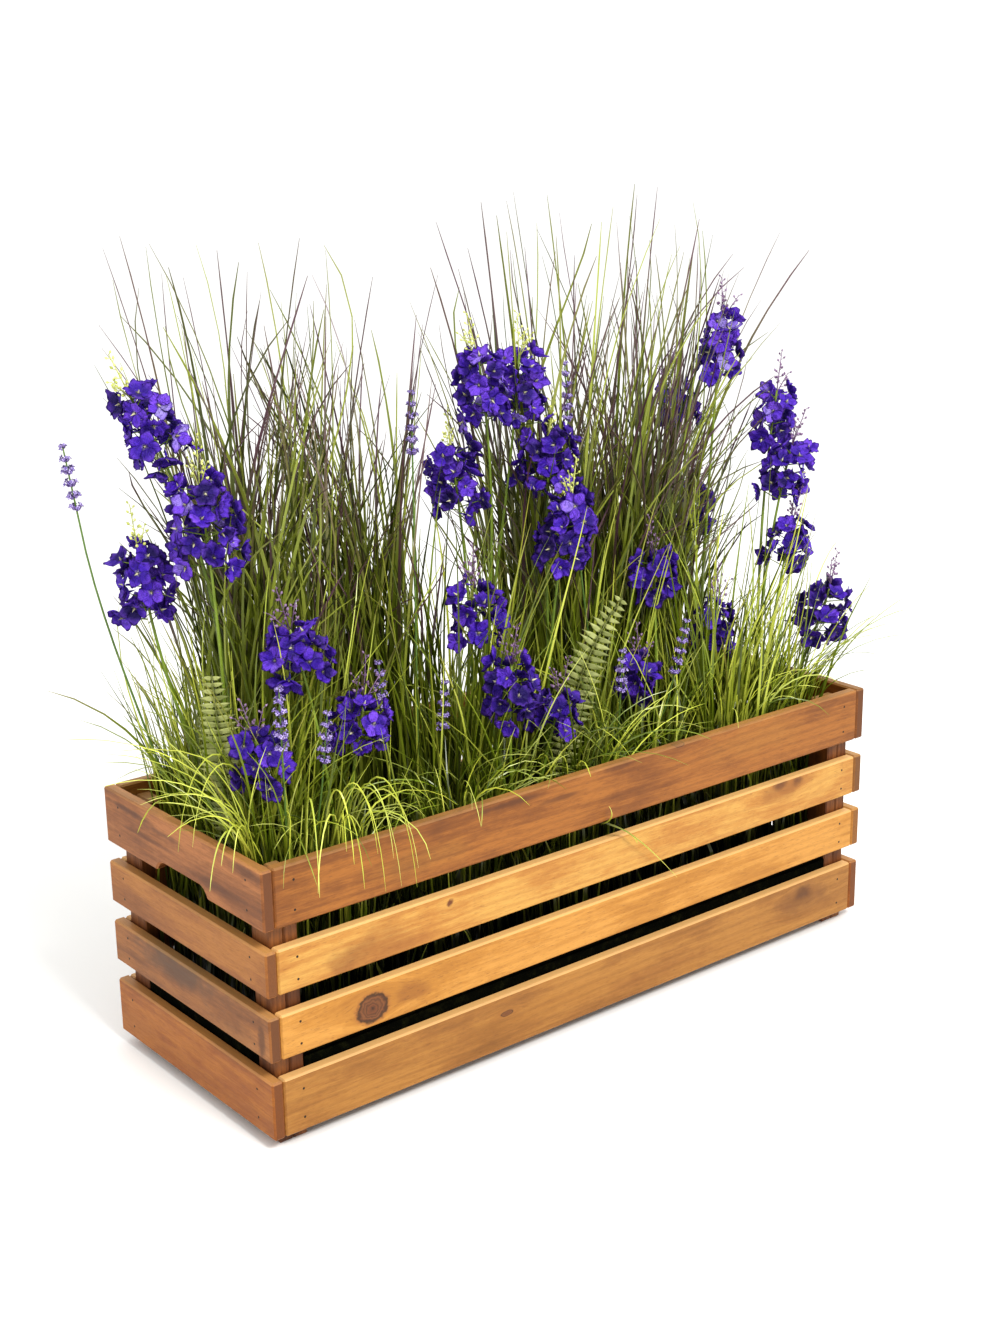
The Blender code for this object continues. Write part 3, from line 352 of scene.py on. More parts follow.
# %% Board materials
GOLDEN = ("#C09249", "#B07B37", "#986229")
AMBER = ("#C08A40", "#AF7930", "#986424")
RED_BROWN = ("#985F22", "#804C18", "#62360E")
MID_BROWN = ("#A37233", "#926229", "#774D1D")
PINK_BROWN = ("#AA6C38", "#905828", "#653818")
GREY_BROWN = ("#A0662E", "#875426", "#663C1B")
ORANGE_BROWN = ("#A66C2C", "#955C24", "#7A481B")
DEEP_ORANGE = ("#A6661E", "#935416", "#784110")
DARK_BATTEN = ("#845226", "#693C1A", "#44240E")
END_GRAIN = "#5D3612"
STREAK_BROWN = "#4A260E"
HEARTWOOD = "#663A18"
GREY_HEART = "#56402E"
KNOT_BROWN = "#38200F"
RUSSET = "#7A481C"
HONEY = "#9A6828"

# Each side's grain, and where its outer face lies on the axis across it.
FACES = {"front": ("x", -OUTER_Y), "back": ("x", OUTER_Y), "left": ("y", -OUTER_X), "right": ("y", OUTER_X)}
# How much painted highlight the upward faces take, for light from above: on the rim, and on the other boards along x
# and along y.
TOP_HIGHLIGHTS = {"rim": 0.22, "x": 0.80, "y": 0.35}
# A board's tones, its offset in the pattern, its knots and its clouds. A mark starts with its place along
# the board and its height, and then its half length and half height.
BOARDS = {
    "board_front_top": (RED_BROWN, (0.31, 0.05, -0.31), ((0.110, 0.277, 0.008, 0.004, 0.7),), (
        (-0.117, 0.269, 0.040, 0.0035, STREAK_BROWN, 0.75),
        (-0.049, 0.259, 0.032, 0.0030, STREAK_BROWN, 0.65),
        (0.022, 0.272, 0.028, 0.0035, STREAK_BROWN, 0.55),
        (-0.220, 0.240, 0.060, 0.014, HONEY, 0.40),
        (0.230, 0.255, 0.090, 0.020, HONEY, 0.40))),
    "board_front_upper": (GOLDEN, (1.73, 0.04, -0.23), (
        (-0.190, 0.188, 0.004, 0.0030, 0.0), (0.262, 0.193, 0.012, 0.0048, 0.0),
        (0.287, 0.191, 0.008, 0.0042, 0.0)), (
        (-0.190, 0.188, 0.0045, 0.0036, "#5A2A12", 0.95),
        (0.262, 0.194, 0.013, 0.0060, KNOT_BROWN, 0.95),
        (0.288, 0.192, 0.009, 0.0055, KNOT_BROWN, 0.9),
        (-0.304, 0.168, 0.030, 0.019, HEARTWOOD, 0.5),
        (-0.268, 0.170, 0.042, 0.020, RUSSET, 0.45),
        (0.270, 0.188, 0.040, 0.012, RUSSET, 0.65))),
    "board_front_lower": (AMBER, (2.91, 0.06, -0.05), ((-0.283, 0.109, 0.018, 0.0145, 0.95),), (
        (-0.238, 0.111, 0.022, 0.012, RUSSET, 0.60),)),
    "board_front_bottom": (MID_BROWN, (4.37, 0.03, -0.11), (
        (0.302, 0.053, 0.012, 0.0075, 0.0), (-0.123, 0.050, 0.008, 0.003, 0.8)), (
        (0.303, 0.054, 0.015, 0.0100, KNOT_BROWN, 0.95),
        (0.308, 0.048, 0.048, 0.017, "#6C431E", 0.65),
        (-0.060, 0.040, 0.110, 0.012, HONEY, 0.45),
        (0.090, 0.030, 0.090, 0.010, RUSSET, 0.40))),
    "board_left_top": (PINK_BROWN, (0.13, 0.30, -0.20), (), (
        (0.094, 0.264, 0.046, 0.004, STREAK_BROWN, 0.75),
        (0.034, 0.259, 0.040, 0.004, STREAK_BROWN, 0.6),
        (0.060, 0.246, 0.055, 0.003, STREAK_BROWN, 0.55),
        (-0.070, 0.237, 0.065, 0.005, STREAK_BROWN, 0.6),
        (-0.116, 0.268, 0.030, 0.007, STREAK_BROWN, 0.65),
        (-0.100, 0.230, 0.030, 0.012, RUSSET, 0.5))),
    "board_left_upper": (ORANGE_BROWN, (1.19, 0.34, -0.24), (), ()),
    "board_left_lower": (GREY_BROWN, (2.47, 0.38, -0.06), (), (
        (0.020, 0.124, 0.085, 0.017, GREY_HEART, 0.85),
        (-0.100, 0.094, 0.055, 0.016, "#A87038", 0.7),
        (-0.128, 0.108, 0.007, 0.020, STREAK_BROWN, 0.7))),
    "board_left_bottom": (DEEP_ORANGE, (3.31, 0.31, -0.09), (), ()),
    "board_right_top": (RED_BROWN, (4.13, -0.31, -0.20), (), ()),
    "board_right_upper": (MID_BROWN, (5.19, -0.36, -0.23), ((0.050, 0.172, 0.009, 0.006, 0.85),), ()),
    "board_right_lower": (AMBER, (6.47, -0.33, -0.05), (), (
        (-0.030, 0.118, 0.050, 0.015, RUSSET, 0.6),)),
    "board_right_bottom": (DEEP_ORANGE, (7.31, -0.30, -0.10), (), ()),
    "board_back_top": (MID_BROWN, (8.31, -0.05, -0.31), ((-0.110, 0.240, 0.012, 0.009, 0.9),), (
        (0.180, 0.262, 0.070, 0.008, STREAK_BROWN, 0.6),)),
    "board_back_upper": (GOLDEN, (9.73, -0.04, -0.13), ((0.310, 0.178, 0.006, 0.004, 0.8),), ()),
    "board_back_lower": (RED_BROWN, (10.9, -0.06, -0.05), ((0.200, 0.110, 0.010, 0.007, 0.9),), (
        (0.235, 0.112, 0.045, 0.012, STREAK_BROWN, 0.5),)),
    "board_back_bottom": (ORANGE_BROWN, (12.4, -0.03, -0.11), (), (
        (-0.240, 0.040, 0.080, 0.014, HEARTWOOD, 0.6),)),
}


def on_face(side, marks):
    """A mark's place along the board and its height become a point on the board's outer face."""
    grain, out = FACES[side]
    return [((along, out, high) if grain == "x" else (out, along, high), *rest) for along, high, *rest in marks]


def dress(node, material):
    """A CAD node keeps its mesh and takes the material in its own slots."""
    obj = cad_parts[node]
    obj.data.materials.clear()
    obj.data.materials.append(material)


for node, (tones, offset, *marks) in BOARDS.items():
    _, side, course = node.split("_")
    grain = FACES[side][0]
    knots, clouds = (on_face(side, group) for group in marks)
    end_grain = END_GRAIN if grain == "y" else None
    top_highlight_share = TOP_HIGHLIGHTS["rim" if course == "top" else grain]
    dress(node, wood(f"oiled_acacia_{node}", tones, grain, offset, knots, clouds, end_grain, top_highlight_share))
dark_wood = wood("oiled_acacia_battens", DARK_BATTEN, "z", (0.4, 0.2, 0.1))
floor_wood = wood("oiled_acacia_floor", DARK_BATTEN, "x", (0.7, 0.1, 0.2))
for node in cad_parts:
    if node.startswith("batten"):
        dress(node, dark_wood)
    if node.startswith(("cleat", "floor")):
        dress(node, floor_wood)
print("boards dressed", len(BOARDS))

# %% [markdown]
# ## Surfaces from arrays
#
# Nearly all of a plant is a thin profile carried along a path: a blade, a stem, a stalk, a bud whose
# profile swells and closes again. One function makes any number of them at once. Each path is a row of
# points, a flat ring of a few corners stands across each point, and the rings are joined by
# four-sided faces. Both ends are closed, so every mesh has an inside.

# %% Profiles along paths
def unit(vectors):
    return vectors / np.maximum(np.linalg.norm(vectors, axis=-1, keepdims=True), 1e-12)


def tubes(paths, half_width, half_depth, side, corners=3):
    """Rings across paths of shape (tubes, rings, 3).

    A ring's corner at angle a is centre + cos(a) * half width * side + sin(a) * half depth * normal,
    where side is made square to the path and normal is path direction x side.
    Returns the points and the faces: squares between the rings, and one face over each end.
    """
    count, rings, _ = paths.shape
    along = unit(np.gradient(paths, axis=1))
    side = np.broadcast_to(np.asarray(side, float), (count, 3))[:, None, :]
    side = unit(side - (along * side).sum(-1, keepdims=True) * along)
    normal = np.cross(along, side)
    angle = math.pi * (2 * np.arange(corners) / corners - 1 / corners)
    wide = np.broadcast_to(half_width, (count, rings))[:, :, None, None]
    deep = np.broadcast_to(half_depth, (count, rings))[:, :, None, None]
    ring = np.cos(angle)[:, None] * wide * side[:, :, None, :] + np.sin(angle)[:, None] * deep * normal[:, :, None, :]
    points = (paths[:, :, None, :] + ring).reshape(-1, 3)
    first = np.arange(count)[:, None, None] * rings * corners
    here = first + np.arange(rings - 1)[None, :, None] * corners
    corner = np.arange(corners)[None, None, :]
    after = (corner + 1) % corners
    quads = np.stack([here + corner, here + after, here + corners + after, here + corners + corner], -1)
    start = first[:, 0] + np.arange(corners)[None, ::-1]
    end = first[:, 0] + (rings - 1) * corners + np.arange(corners)[None, :]
    return points, [quads.reshape(-1, 4), np.vstack([start, end])]


class Pieces:
    """Collects arrays of points and faces with their material, tint and place along the piece."""

    def __init__(self):
        self.points, self.faces, self.slots, self.tints, self.places = [], [], [], [], []
        self.count = 0

    def add(self, made, slot, tint, place=(0.5, 0.5)):
        """tint is one number a point, place is two: across and along. One value may serve all points."""
        points, faces = made
        self.points.append(points)
        self.tints.append(np.broadcast_to(tint, len(points)).astype(np.float32))
        self.places.append(np.broadcast_to(place, (len(points), 2)).astype(np.float32))
        for group in faces:
            self.faces.append(group + self.count)
            self.slots.append(np.full(len(group), slot, np.int32))
        self.count += len(points)

    def mesh(self, name, materials, smooth=True):
        mesh = bpy.data.meshes.new(name)
        points = np.vstack(self.points)
        sizes = np.concatenate([np.full(len(group), group.shape[1]) for group in self.faces])
        corners = np.concatenate([group.reshape(-1) for group in self.faces])
        mesh.vertices.add(len(points))
        mesh.loops.add(len(corners))
        mesh.polygons.add(len(sizes))
        mesh.vertices.foreach_set("co", points.astype(np.float32).reshape(-1))
        mesh.loops.foreach_set("vertex_index", corners.astype(np.int32))
        mesh.polygons.foreach_set("loop_start", np.concatenate([[0], np.cumsum(sizes)[:-1]]).astype(np.int32))
        mesh.polygons.foreach_set("material_index", np.concatenate(self.slots))
        mesh.polygons.foreach_set("use_smooth", np.full(len(sizes), smooth))
        mesh.update(calc_edges=True)
        tint = mesh.attributes.new("tint", "FLOAT", "POINT")
        tint.data.foreach_set("value", np.concatenate(self.tints))
        layer = mesh.uv_layers.new(name="place")
        layer.data.foreach_set("uv", np.vstack(self.places)[corners].reshape(-1))
        for material in materials:
            mesh.materials.append(material)
        return mesh


TRIANGLES = {}


def finish_piece(name, pieces, materials, nodes, smooth=True):
    """Makes the object, rides it on the root body and lets it stand for the CAD nodes."""
    mesh = pieces.mesh(name, materials, smooth)
    obj = bpy.data.objects.new(name, mesh)
    bpy.context.scene.collection.objects.link(obj)
    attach(obj, "root")
    if nodes:
        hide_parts(*nodes)
    mesh.calc_loop_triangles()
    TRIANGLES[name] = len(mesh.loop_triangles)


# %% [markdown]
# ## Grass blades
#
# The grasses are extruded plastic blades, narrow and slightly folded, some of them tipped with
# purple-brown. Hair would be quick to draw but is no mesh, so each blade is a three-cornered profile
# along a bent path. A blade rises straight for a way. After that its lean grows to the tip's lean as
# a power of the length that is left. A weak turn of its heading takes it out of one plane.

# %% Blade paths
STEPS = 60


def blade_paths(roots, heading, length, lean, tip_lean, bend, rise, turn):
    """Fine paths: lean(s) = lean + (tip - lean) * max(0, (s - rise) / (1 - rise)) ** bend, summed along s."""
    middle = (np.arange(STEPS) + 0.5) / STEPS
    straight = (rise / length)[:, None]
    bent = np.clip((middle[None, :] - straight) / (1 - straight), 0, 1) ** bend
    angle = np.radians(lean[:, None] + (tip_lean - lean)[:, None] * bent)
    facing = np.radians(heading[:, None] + turn[:, None] * bent)
    step = np.stack([np.sin(angle) * np.cos(facing), np.sin(angle) * np.sin(facing), np.cos(angle)], -1)
    step *= (length / STEPS)[:, None, None]
    start = np.zeros((len(roots), 1, 3))
    return roots[:, None, :] + np.concatenate([start, np.cumsum(step, axis=1)], axis=1)


def clear_of_crate(paths, margin):
    """True for a path in reach that keeps clear of the boards, the battens and the hand-holds."""
    x, y, z = np.abs(paths[..., 0]), np.abs(paths[..., 1]), paths[..., 2]
    inside = (x < INNER_X - margin) & (y < INNER_Y - margin)
    at_battens = (x > BATTENS_X - margin) & (y > BATTENS_Y - margin) & (z < HEIGHT)
    above = z > HEIGHT + margin
    outside = (x > OUTER_X + margin) | (y > OUTER_Y + margin)
    reach = (x.max(axis=1) < REACH_X) & (y.max(axis=1) < REACH_Y) & (z.max(axis=1) < REACH_Z)
    fingers = (x > INNER_X - FINGERS_IN) & (x < OUTER_X + FINGERS_OUT) & (y < FINGERS_Y)
    fingers &= (z > FINGERS_LOW) & (z < FINGERS_HIGH)
    return ((inside & ~at_battens) | above | outside).all(axis=1) & ~fingers.any(axis=1) & reach


# %% Grass material
OTHER_DRAW = 7.31


def plastic_blade(name, root, body, alternate, tip, tip_from, tip_share, painted_shade_to, roughness):
    """Moulded polyethylene grass: colour by the place along the blade, and by the blade's own tint.

    The fraction of OTHER_DRAW * tint serves as a second draw, for the tip's colour and its length. The root colour is
    a painted shade: up to the first of the two shade places along the blade it is near black, and from the second on
    the blade has its own colour.
    """
    material, tree = new_material(name)
    along = add(tree, "SeparateXYZ", {0: add(tree, "UVMap", uv_map="place")}, "Y")
    tint = add(tree, "Attribute", out="Fac", attribute_name="tint")
    colour = add(tree, "ValToRGB", {"Fac": tint}, stops=[(0.0, body), (0.55, alternate[0]), (1.0, alternate[1])])
    # Painted shade: from the root upwards the blade is mixed from the near-black root colour to its own colour.
    low = add(tree, "MapRange", {"Value": along, "From Min": painted_shade_to[0], "From Max": painted_shade_to[1]})
    colour = add(tree, "Mix", {"Factor": low, 6: root, 7: colour}, **COLOURS)
    other_draw = add(tree, "Math", {0: tint, 1: OTHER_DRAW}, operation="MULTIPLY")
    other_draw = add(tree, "Math", {0: other_draw}, operation="FRACT")
    chosen = add(tree, "MapRange", {"Value": other_draw, "To Min": tip_from[0], "To Max": tip_from[1]})
    past = add(tree, "Math", {0: along, 1: chosen}, operation="SUBTRACT")
    tipped = add(tree, "MapRange", {"Value": past, "From Max": 0.30, "To Max": tip_share})
    tip_colour = add(tree, "ValToRGB", {"Fac": other_draw}, stops=[(0.25, tip[0]), (0.60, tip[1])])
    colour = add(tree, "Mix", {"Factor": tipped, 6: colour, 7: tip_colour}, **COLOURS)
    shader = add(tree, "BsdfPrincipled", {"Base Color": colour, "Roughness": roughness, "IOR": 1.5})
    add(tree, "OutputMaterial", {"Surface": shader})
    return material


# Each grass's first colour is the near-black painted shade at its root.
DARK_GRASS = plastic_blade(
    "polyethylene_grass_dark", "#111301", "#3A420C", ("#6E7821", "#9CA446"), ("#54442A", "#58384A"),
    (1.0, 0.42), 0.88, (0.05, 0.44), 0.32,
)
GREEN_GRASS = plastic_blade(
    "polyethylene_grass_green", "#121401", "#434E0A", ("#788820", "#C2C852"), ("#70761E", "#88763E"),
    (0.95, 0.70), 0.7, (0.08, 0.56), 0.32,
)
BRIGHT_GRASS = plastic_blade(
    "polyethylene_grass_bright", "#121401", "#42500C", ("#7A8C20", "#D0D656"), ("#A6B23A", "#D4D878"),
    (0.85, 0.55), 0.6, (0.18, 0.74), 0.30,
)

# %% [markdown]
# ## Tussocks, clumps and tufts
#
# Three kinds of grass grow here. The dark tussocks are tall and nearly upright. The clumps between
# them are half as high and yellower. The bright tufts near the rim arch over the boards. Each bunch
# draws its blades from its own ranges of length and lean. Many more are drawn than are wanted, and those
# that would pass through a board are left out.

# %% Grass bunches
# A blade's width and depth are in millimetres. The roots lie within spread of the bunch's middle. within
# is how much of the solid's box an elliptic outline may fill, and cross is the share of blades that cross.
STYLES = {
    "tussock": {"width": 5.4, "depth": 2.3, "rise": 0.20, "bend": 1.5, "spread": 0.054, "rings": 16,
                "blades": 215, "within": 0.88, "cross": 1.0, "turn": 60, "curls": (1.5, 1.1), "outer_rise": 0.24,
                "outer_bend": 1.2, "material": DARK_GRASS, "slot": "grass_dark"},
    "clump": {"width": 4.2, "depth": 1.9, "rise": 0.16, "bend": 1.5, "spread": 0.050, "rings": 13,
              "blades": 135, "cross": 0.50, "turn": 45, "curls": (1.0, 1.7), "outer_rise": 0.14,
              "outer_bend": 1.2, "material": GREEN_GRASS, "slot": "grass_green"},
    "tuft": {"width": 3.2, "depth": 1.6, "rise": 0.17, "bend": 0.85, "spread": 0.032, "rings": 17,
             "blades": 44, "cross": 0.20, "turn": 22, "curls": (1.2, 1.3), "outer_rise": 0.20,
             "outer_bend": 0.65, "shade": 1.7, "material": BRIGHT_GRASS, "slot": "grass_bright"},
}
# A bunch has its middle, and its ranges of length, lean at the root and lean at the tip. The last pair is
# the heading that it faces and how far its blades turn to either side of it.
BUNCHES = (
    ("tussock_left", (-0.250, 0.070), (0.42, 0.77), (0, 5), (4, 74), (180, 180)),
    ("tussock_centre_left", (-0.132, 0.078), (0.40, 0.69), (0, 6), (4, 88), (90, 180)),
    ("tussock_centre_right", (0.118, 0.086), (0.38, 0.75), (0, 6), (4, 78), (120, 180)),
    ("tussock_right", (0.208, 0.066), (0.40, 0.75), (0, 6), (4, 74), (60, 180)),
    ("tussock_right_end", (0.286, 0.100), (0.36, 0.72), (0, 7), (6, 88), (20, 180)),
    ("clump_left", (-0.282, 0.010), (0.24, 0.46), (0, 11), (6, 60), (200, 180)),
    ("clump_centre_left", (-0.072, 0.010), (0.26, 0.50), (0, 10), (6, 60), (250, 180)),
    ("clump_centre_right", (0.124, 0.022), (0.24, 0.48), (0, 10), (6, 60), (280, 180)),
    ("clump_right", (0.252, -0.044), (0.24, 0.46), (0, 11), (8, 65), (320, 180)),
    ("tuft_left_end", (-0.344, -0.080), (0.22, 0.36), (0, 10), (15, 100), (190, 120)),
    ("tuft_front_left", (-0.286, -0.108), (0.24, 0.36), (0, 6), (60, 170), (255, 110)),
    ("tuft_front_centre_left", (-0.150, -0.104), (0.24, 0.37), (0, 7), (40, 150), (275, 130)),
    ("tuft_front_centre", (0.004, -0.108), (0.24, 0.38), (0, 7), (40, 140), (285, 130)),
    ("tuft_front_right", (0.232, -0.106), (0.24, 0.38), (0, 7), (40, 140), (285, 130)),
    ("tuft_right_end", (0.340, -0.080), (0.24, 0.35), (0, 8), (55, 125), (340, 100)),
    ("tuft_back", (-0.050, 0.112), (0.25, 0.33), (0, 7), (75, 160), (90, 110)),
)
# The long blades of the outline in the photograph: heading, length, lean at the root and at the tip.
OUTER_BLADES = {
    "tuft_left_end": ((168, 0.403, 4, 88), (190, 0.344, 5, 95), (173, 0.317, 3, 97), (182, 0.372, 6, 92),
                      (202, 0.326, 8, 104), (158, 0.352, 5, 82)),
    "tuft_right_end": ((4, 0.412, 6, 86), (330, 0.324, 5, 48)),
    "tuft_front_left": ((225, 0.331, 2, 165), (249, 0.320, 2, 170), (286, 0.299, 3, 171), (238, 0.303, 2, 132)),
    "tuft_front_right": ((222, 0.276, 4, 110),),
    "tuft_back": ((92, 0.300, 3, 140),),
    "tussock_left": ((164, 0.684, 3, 10), (223, 0.709, 3, 12), (297, 0.713, 0, 13)),
    "tussock_centre_left": ((311, 0.674, 3, 16),),
    "tussock_centre_right": ((200, 0.735, 6, 12), (358, 0.717, 6, 10)),
    "tussock_right": ((310, 0.733, 1, 6),),
    "tussock_right_end": ((344, 0.696, 6, 30), (337, 0.692, 5, 41)),
}
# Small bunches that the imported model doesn't have.
SCENE_TUFTS = (
    ("clump_corner_left", (-0.338, 0.060), (0.20, 0.38), (0, 10), (6, 60), (180, 180)),
    ("clump_end_left", (-0.346, 0.000), (0.22, 0.42), (0, 15), (20, 95), (185, 110)),
    ("tuft_corner_left", (-0.342, 0.078), (0.20, 0.36), (0, 8), (40, 130), (170, 150)),
    ("tuft_corner_right", (0.344, 0.030), (0.20, 0.34), (0, 8), (40, 130), (10, 150)),
    ("tuft_back_left", (-0.240, 0.112), (0.22, 0.34), (0, 7), (50, 150), (95, 130)),
    ("tuft_back_right", (0.150, 0.114), (0.22, 0.34), (0, 7), (50, 150), (85, 130)),
    ("tuft_middle", (-0.070, -0.070), (0.22, 0.38), (0, 7), (30, 120), (270, 180)),
    ("tuft_middle_right", (0.110, -0.090), (0.22, 0.38), (0, 7), (30, 130), (280, 160)),
)
# How far past its solid's box a random blade may reach.
BOX_MARGIN = np.array([[-0.010, -0.010, -0.020], [0.010, 0.010, 0.004]])
GRASS_SEED = 40
CANDIDATES = 14
OUTER_ROOT = 0.012
NUDGES, NUDGE = 41, 1.5
CROSSING_TURN = 110
BLADE_ROOM = 0.0006


def margin_of(style):
    """Half a blade's width and a little room."""
    return 0.5 * style["width"] * MM + BLADE_ROOM


def roots_at(middle, out, around, z):
    """Points at the distance out from a bunch's middle, in the direction around."""
    return np.stack([middle[0] + out * np.cos(around), middle[1] + out * np.sin(around), np.full(len(around), z)], -1)


def between(limits, share):
    return limits[0] + (limits[1] - limits[0]) * share


def outer_blades(name, style, root):
    """A bunch's outer blades. Each is turned by up to 30 degrees, bit by bit, until it is clear."""
    nudges = np.arange(NUDGES)
    nudges = (nudges + 1) // 2 * (-1.0) ** nudges * NUDGE
    many = np.ones(NUDGES)
    found, headings = [], []
    for heading, length, lean, tip_lean in OUTER_BLADES.get(name, ()):
        turned = heading + nudges
        roots = roots_at(root, OUTER_ROOT, np.radians(turned), BED_TOP + 0.002)
        rise = style["outer_rise"] * many
        paths = blade_paths(
            roots, turned, length * many, lean * many, tip_lean * many, style["outer_bend"], rise, 0 * many
        )
        good = clear_of_crate(paths, margin_of(style))
        if good.any():
            found.append(paths[good][0])
            headings.append(turned[good][0])
    return np.array(found).reshape(-1, STEPS + 1, 3), np.array(headings)


def draw_blades(name, style, root, lengths, leans, tip_leans, directions, rng, wanted):
    """Fine paths of a bunch: the outer blades first, then random ones with their foot in the crate.

    A random one stays in an ellipse across the solid's box, whose half axes are within times the box's.
    """
    many = wanted * CANDIDATES
    centre, spread = directions
    out = style["spread"] * np.sqrt(rng.uniform(0, 1, many))
    around = rng.uniform(0, 2 * math.pi, many)
    outward = (np.degrees(around) - centre + 180) % 360 - 180
    heading = centre + spread * (outward / 180 + rng.normal(0, 0.16, many))
    crossing = rng.uniform(0, 1, many) < style["cross"]
    heading = np.where(crossing, heading + rng.normal(0, CROSSING_TURN, many), heading)
    length = between(lengths, rng.beta(1.4, 1.4, many))
    lean = between(leans, np.clip(0.5 * (out / style["spread"]) + 0.6 * rng.uniform(0, 1, many), 0, 1.15))
    tip_lean = between(tip_leans, rng.beta(*style["curls"], many))
    turn = rng.normal(0, style["turn"], many)
    roots = roots_at(root, out, around, ROOT_Z)
    rise = np.minimum(style["rise"] * rng.uniform(0.45, 1.15, many), 0.8 * length)
    paths = blade_paths(roots, heading, length, lean, tip_lean, style["bend"], rise, turn)
    low, high = np.array(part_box(name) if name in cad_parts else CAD_BOX) + BOX_MARGIN
    beside = (2 * paths[..., :2] - low[:2] - high[:2]) / (high[:2] - low[:2])
    held = ((np.linalg.norm(beside, axis=-1) <= style.get("within", 1.06)) & (paths[..., 2] <= high[2])).all(axis=1)
    rooted = (np.abs(roots[:, :2]) < (INNER_X, INNER_Y)).all(axis=1)
    good = held & rooted & clear_of_crate(paths, margin_of(style))
    named, headings = outer_blades(name, style, root)
    return np.concatenate([named, paths[good][:wanted]]), np.concatenate([headings, heading[good][:wanted]])


def blade_mesh(fine, heading, style, rng, bright=0):
    """Width follows max(1 - s ** 4.5, 0.42) * (0.60 + 0.40 * min(s / 0.25, 1)), and the last ring's is 0.12.

    The first bright blades have the lightest tints, and the others lie more on the dark side.
    """
    count = len(fine)
    rings = style["rings"]
    shares = np.linspace(0, 1, rings) ** 0.85
    paths = fine[:, np.rint(shares * STEPS).astype(int)]
    size = rng.uniform(0.62, 1.05, count)[:, None]
    taper = np.maximum(1 - shares**4.5, 0.42)[None, :] * (0.60 + 0.40 * np.minimum(shares / 0.25, 1))
    taper[:, -1] = 0.12
    half = 0.5 * style["width"] * MM * size * taper
    side = np.stack([-np.sin(np.radians(heading)), np.cos(np.radians(heading)), np.zeros(count)], -1)
    side = unit(side + rng.normal(0, 0.5, (count, 3)))
    pieces = Pieces()
    # Short blades take only the lower share of the colours, and with it the painted shade at the root.
    place = np.stack([np.zeros(rings), style.get("shown", 1.0) * shares], -1)
    place = np.broadcast_to(place[None, :, None, :], (count, rings, 3, 2)).reshape(-1, 2)
    tint = rng.beta(0.75, 0.75, count) ** style.get("shade", 1.0)
    tint[:bright] = 1 - 0.25 * tint[:bright]
    tint = np.repeat(tint, rings * 3)
    pieces.add(tubes(paths, half, 0.5 * style["depth"] * MM * taper, side), 0, tint, place)
    return pieces


def finish_blades(name, pieces, style, nodes=()):
    finish_piece(f"{name}_blades", pieces, [style["material"]], nodes, smooth=False)


def make_bunch(number, name, root, *ranges):
    rng = np.random.default_rng(GRASS_SEED + number)
    style = STYLES[name.split("_")[0]]
    fine, heading = draw_blades(name, style, root, *ranges, rng, style["blades"])
    bright = len(OUTER_BLADES.get(name, ())) if "shade" in style else 0
    finish_blades(name, blade_mesh(fine, heading, style, rng, bright), style, [name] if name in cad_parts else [])
    return len(fine)


blades = [make_bunch(number, *row) for number, row in enumerate(BUNCHES + SCENE_TUFTS)]
print("blades", sum(blades), blades)

# %% [markdown]
# ## Undergrowth
#
# Between the bunches the bed is full of shorter blades, so that hardly any light comes through the
# crate. They are drawn in the same way, from places all over the bed, and stay below the flowers.
# Their colours stop low on a long blade's, so they are mostly the painted shade of its root.

# %% Undergrowth
UNDERGROWTH_SEED = 300
STAND_BEND, STAND_RISE, STAND_TURN = 1.2, 0.3, 30
# Each stand's name and kind, the share of a long blade's colours that it shows from the painted shade at the root up,
# how many blades it wants, the reach and strip of its roots, and its ranges of length, lean at the root and lean at
# the tip.
STANDS = (
    ("undergrowth", "tussock", 0.36, 1200, (0.0, 0.362), (-0.124, 0.124), (0.07, 0.20), (0, 14), (4, 70)),
    ("underleaf", "clump", 0.55, 430, (0.0, 0.352), (-0.124, 0.124), (0.14, 0.34), (0, 9), (2, 60)),
    ("endleaf", "clump", 0.70, 380, (0.290, 0.366), (-0.124, 0.124), (0.12, 0.34), (0, 7), (2, 60)),
    ("backleaf", "tussock", 0.50, 520, (0.0, 0.372), (0.080, 0.127), (0.12, 0.25), (0, 5), (2, 40)),
)


def make_stand(number, name, kind, shown, wanted, reach, strip, lengths, leans, tip_leans):
    """Roots lie between two distances from the middle, on both sides of it, in a strip of y.

    Short blades show only the share shown of a long blade's colours, from the root upwards, so they keep much of the
    root's painted shade.
    """
    rng = np.random.default_rng(UNDERGROWTH_SEED + number)
    style = {**STYLES[kind], "rings": 7, "shown": shown}
    many = 3 * wanted
    beside = rng.uniform(*reach, many) * rng.choice([-1, 1], many)
    roots = np.stack([beside, rng.uniform(*strip, many), np.full(many, ROOT_Z)], -1)
    heading = rng.uniform(0, 360, many)
    length = rng.uniform(*lengths, many)
    paths = blade_paths(
        roots, heading, length, rng.uniform(*leans, many), rng.uniform(*tip_leans, many), STAND_BEND,
        STAND_RISE * length, rng.normal(0, STAND_TURN, many),
    )
    good = clear_of_crate(paths, margin_of(style))
    finish_blades(name, blade_mesh(paths[good][:wanted], heading[good][:wanted], style, rng), style)
    return int(min(good.sum(), wanted))


print("undergrowth", [make_stand(number, *row) for number, row in enumerate(STANDS)])

# %% [markdown]
# ## Blades through the gap
#
# Three blades have slipped out between the front's top and upper boards. Two of them hang down and one
# turns up. Each follows a cubic curve from the bed's side of the gap. At the crate's front left corner
# the brightest blades rise behind the rim and fall over it like a fountain. They are cubic curves as
# well, whose two middle handles lie at one height, over the root and near the tip.

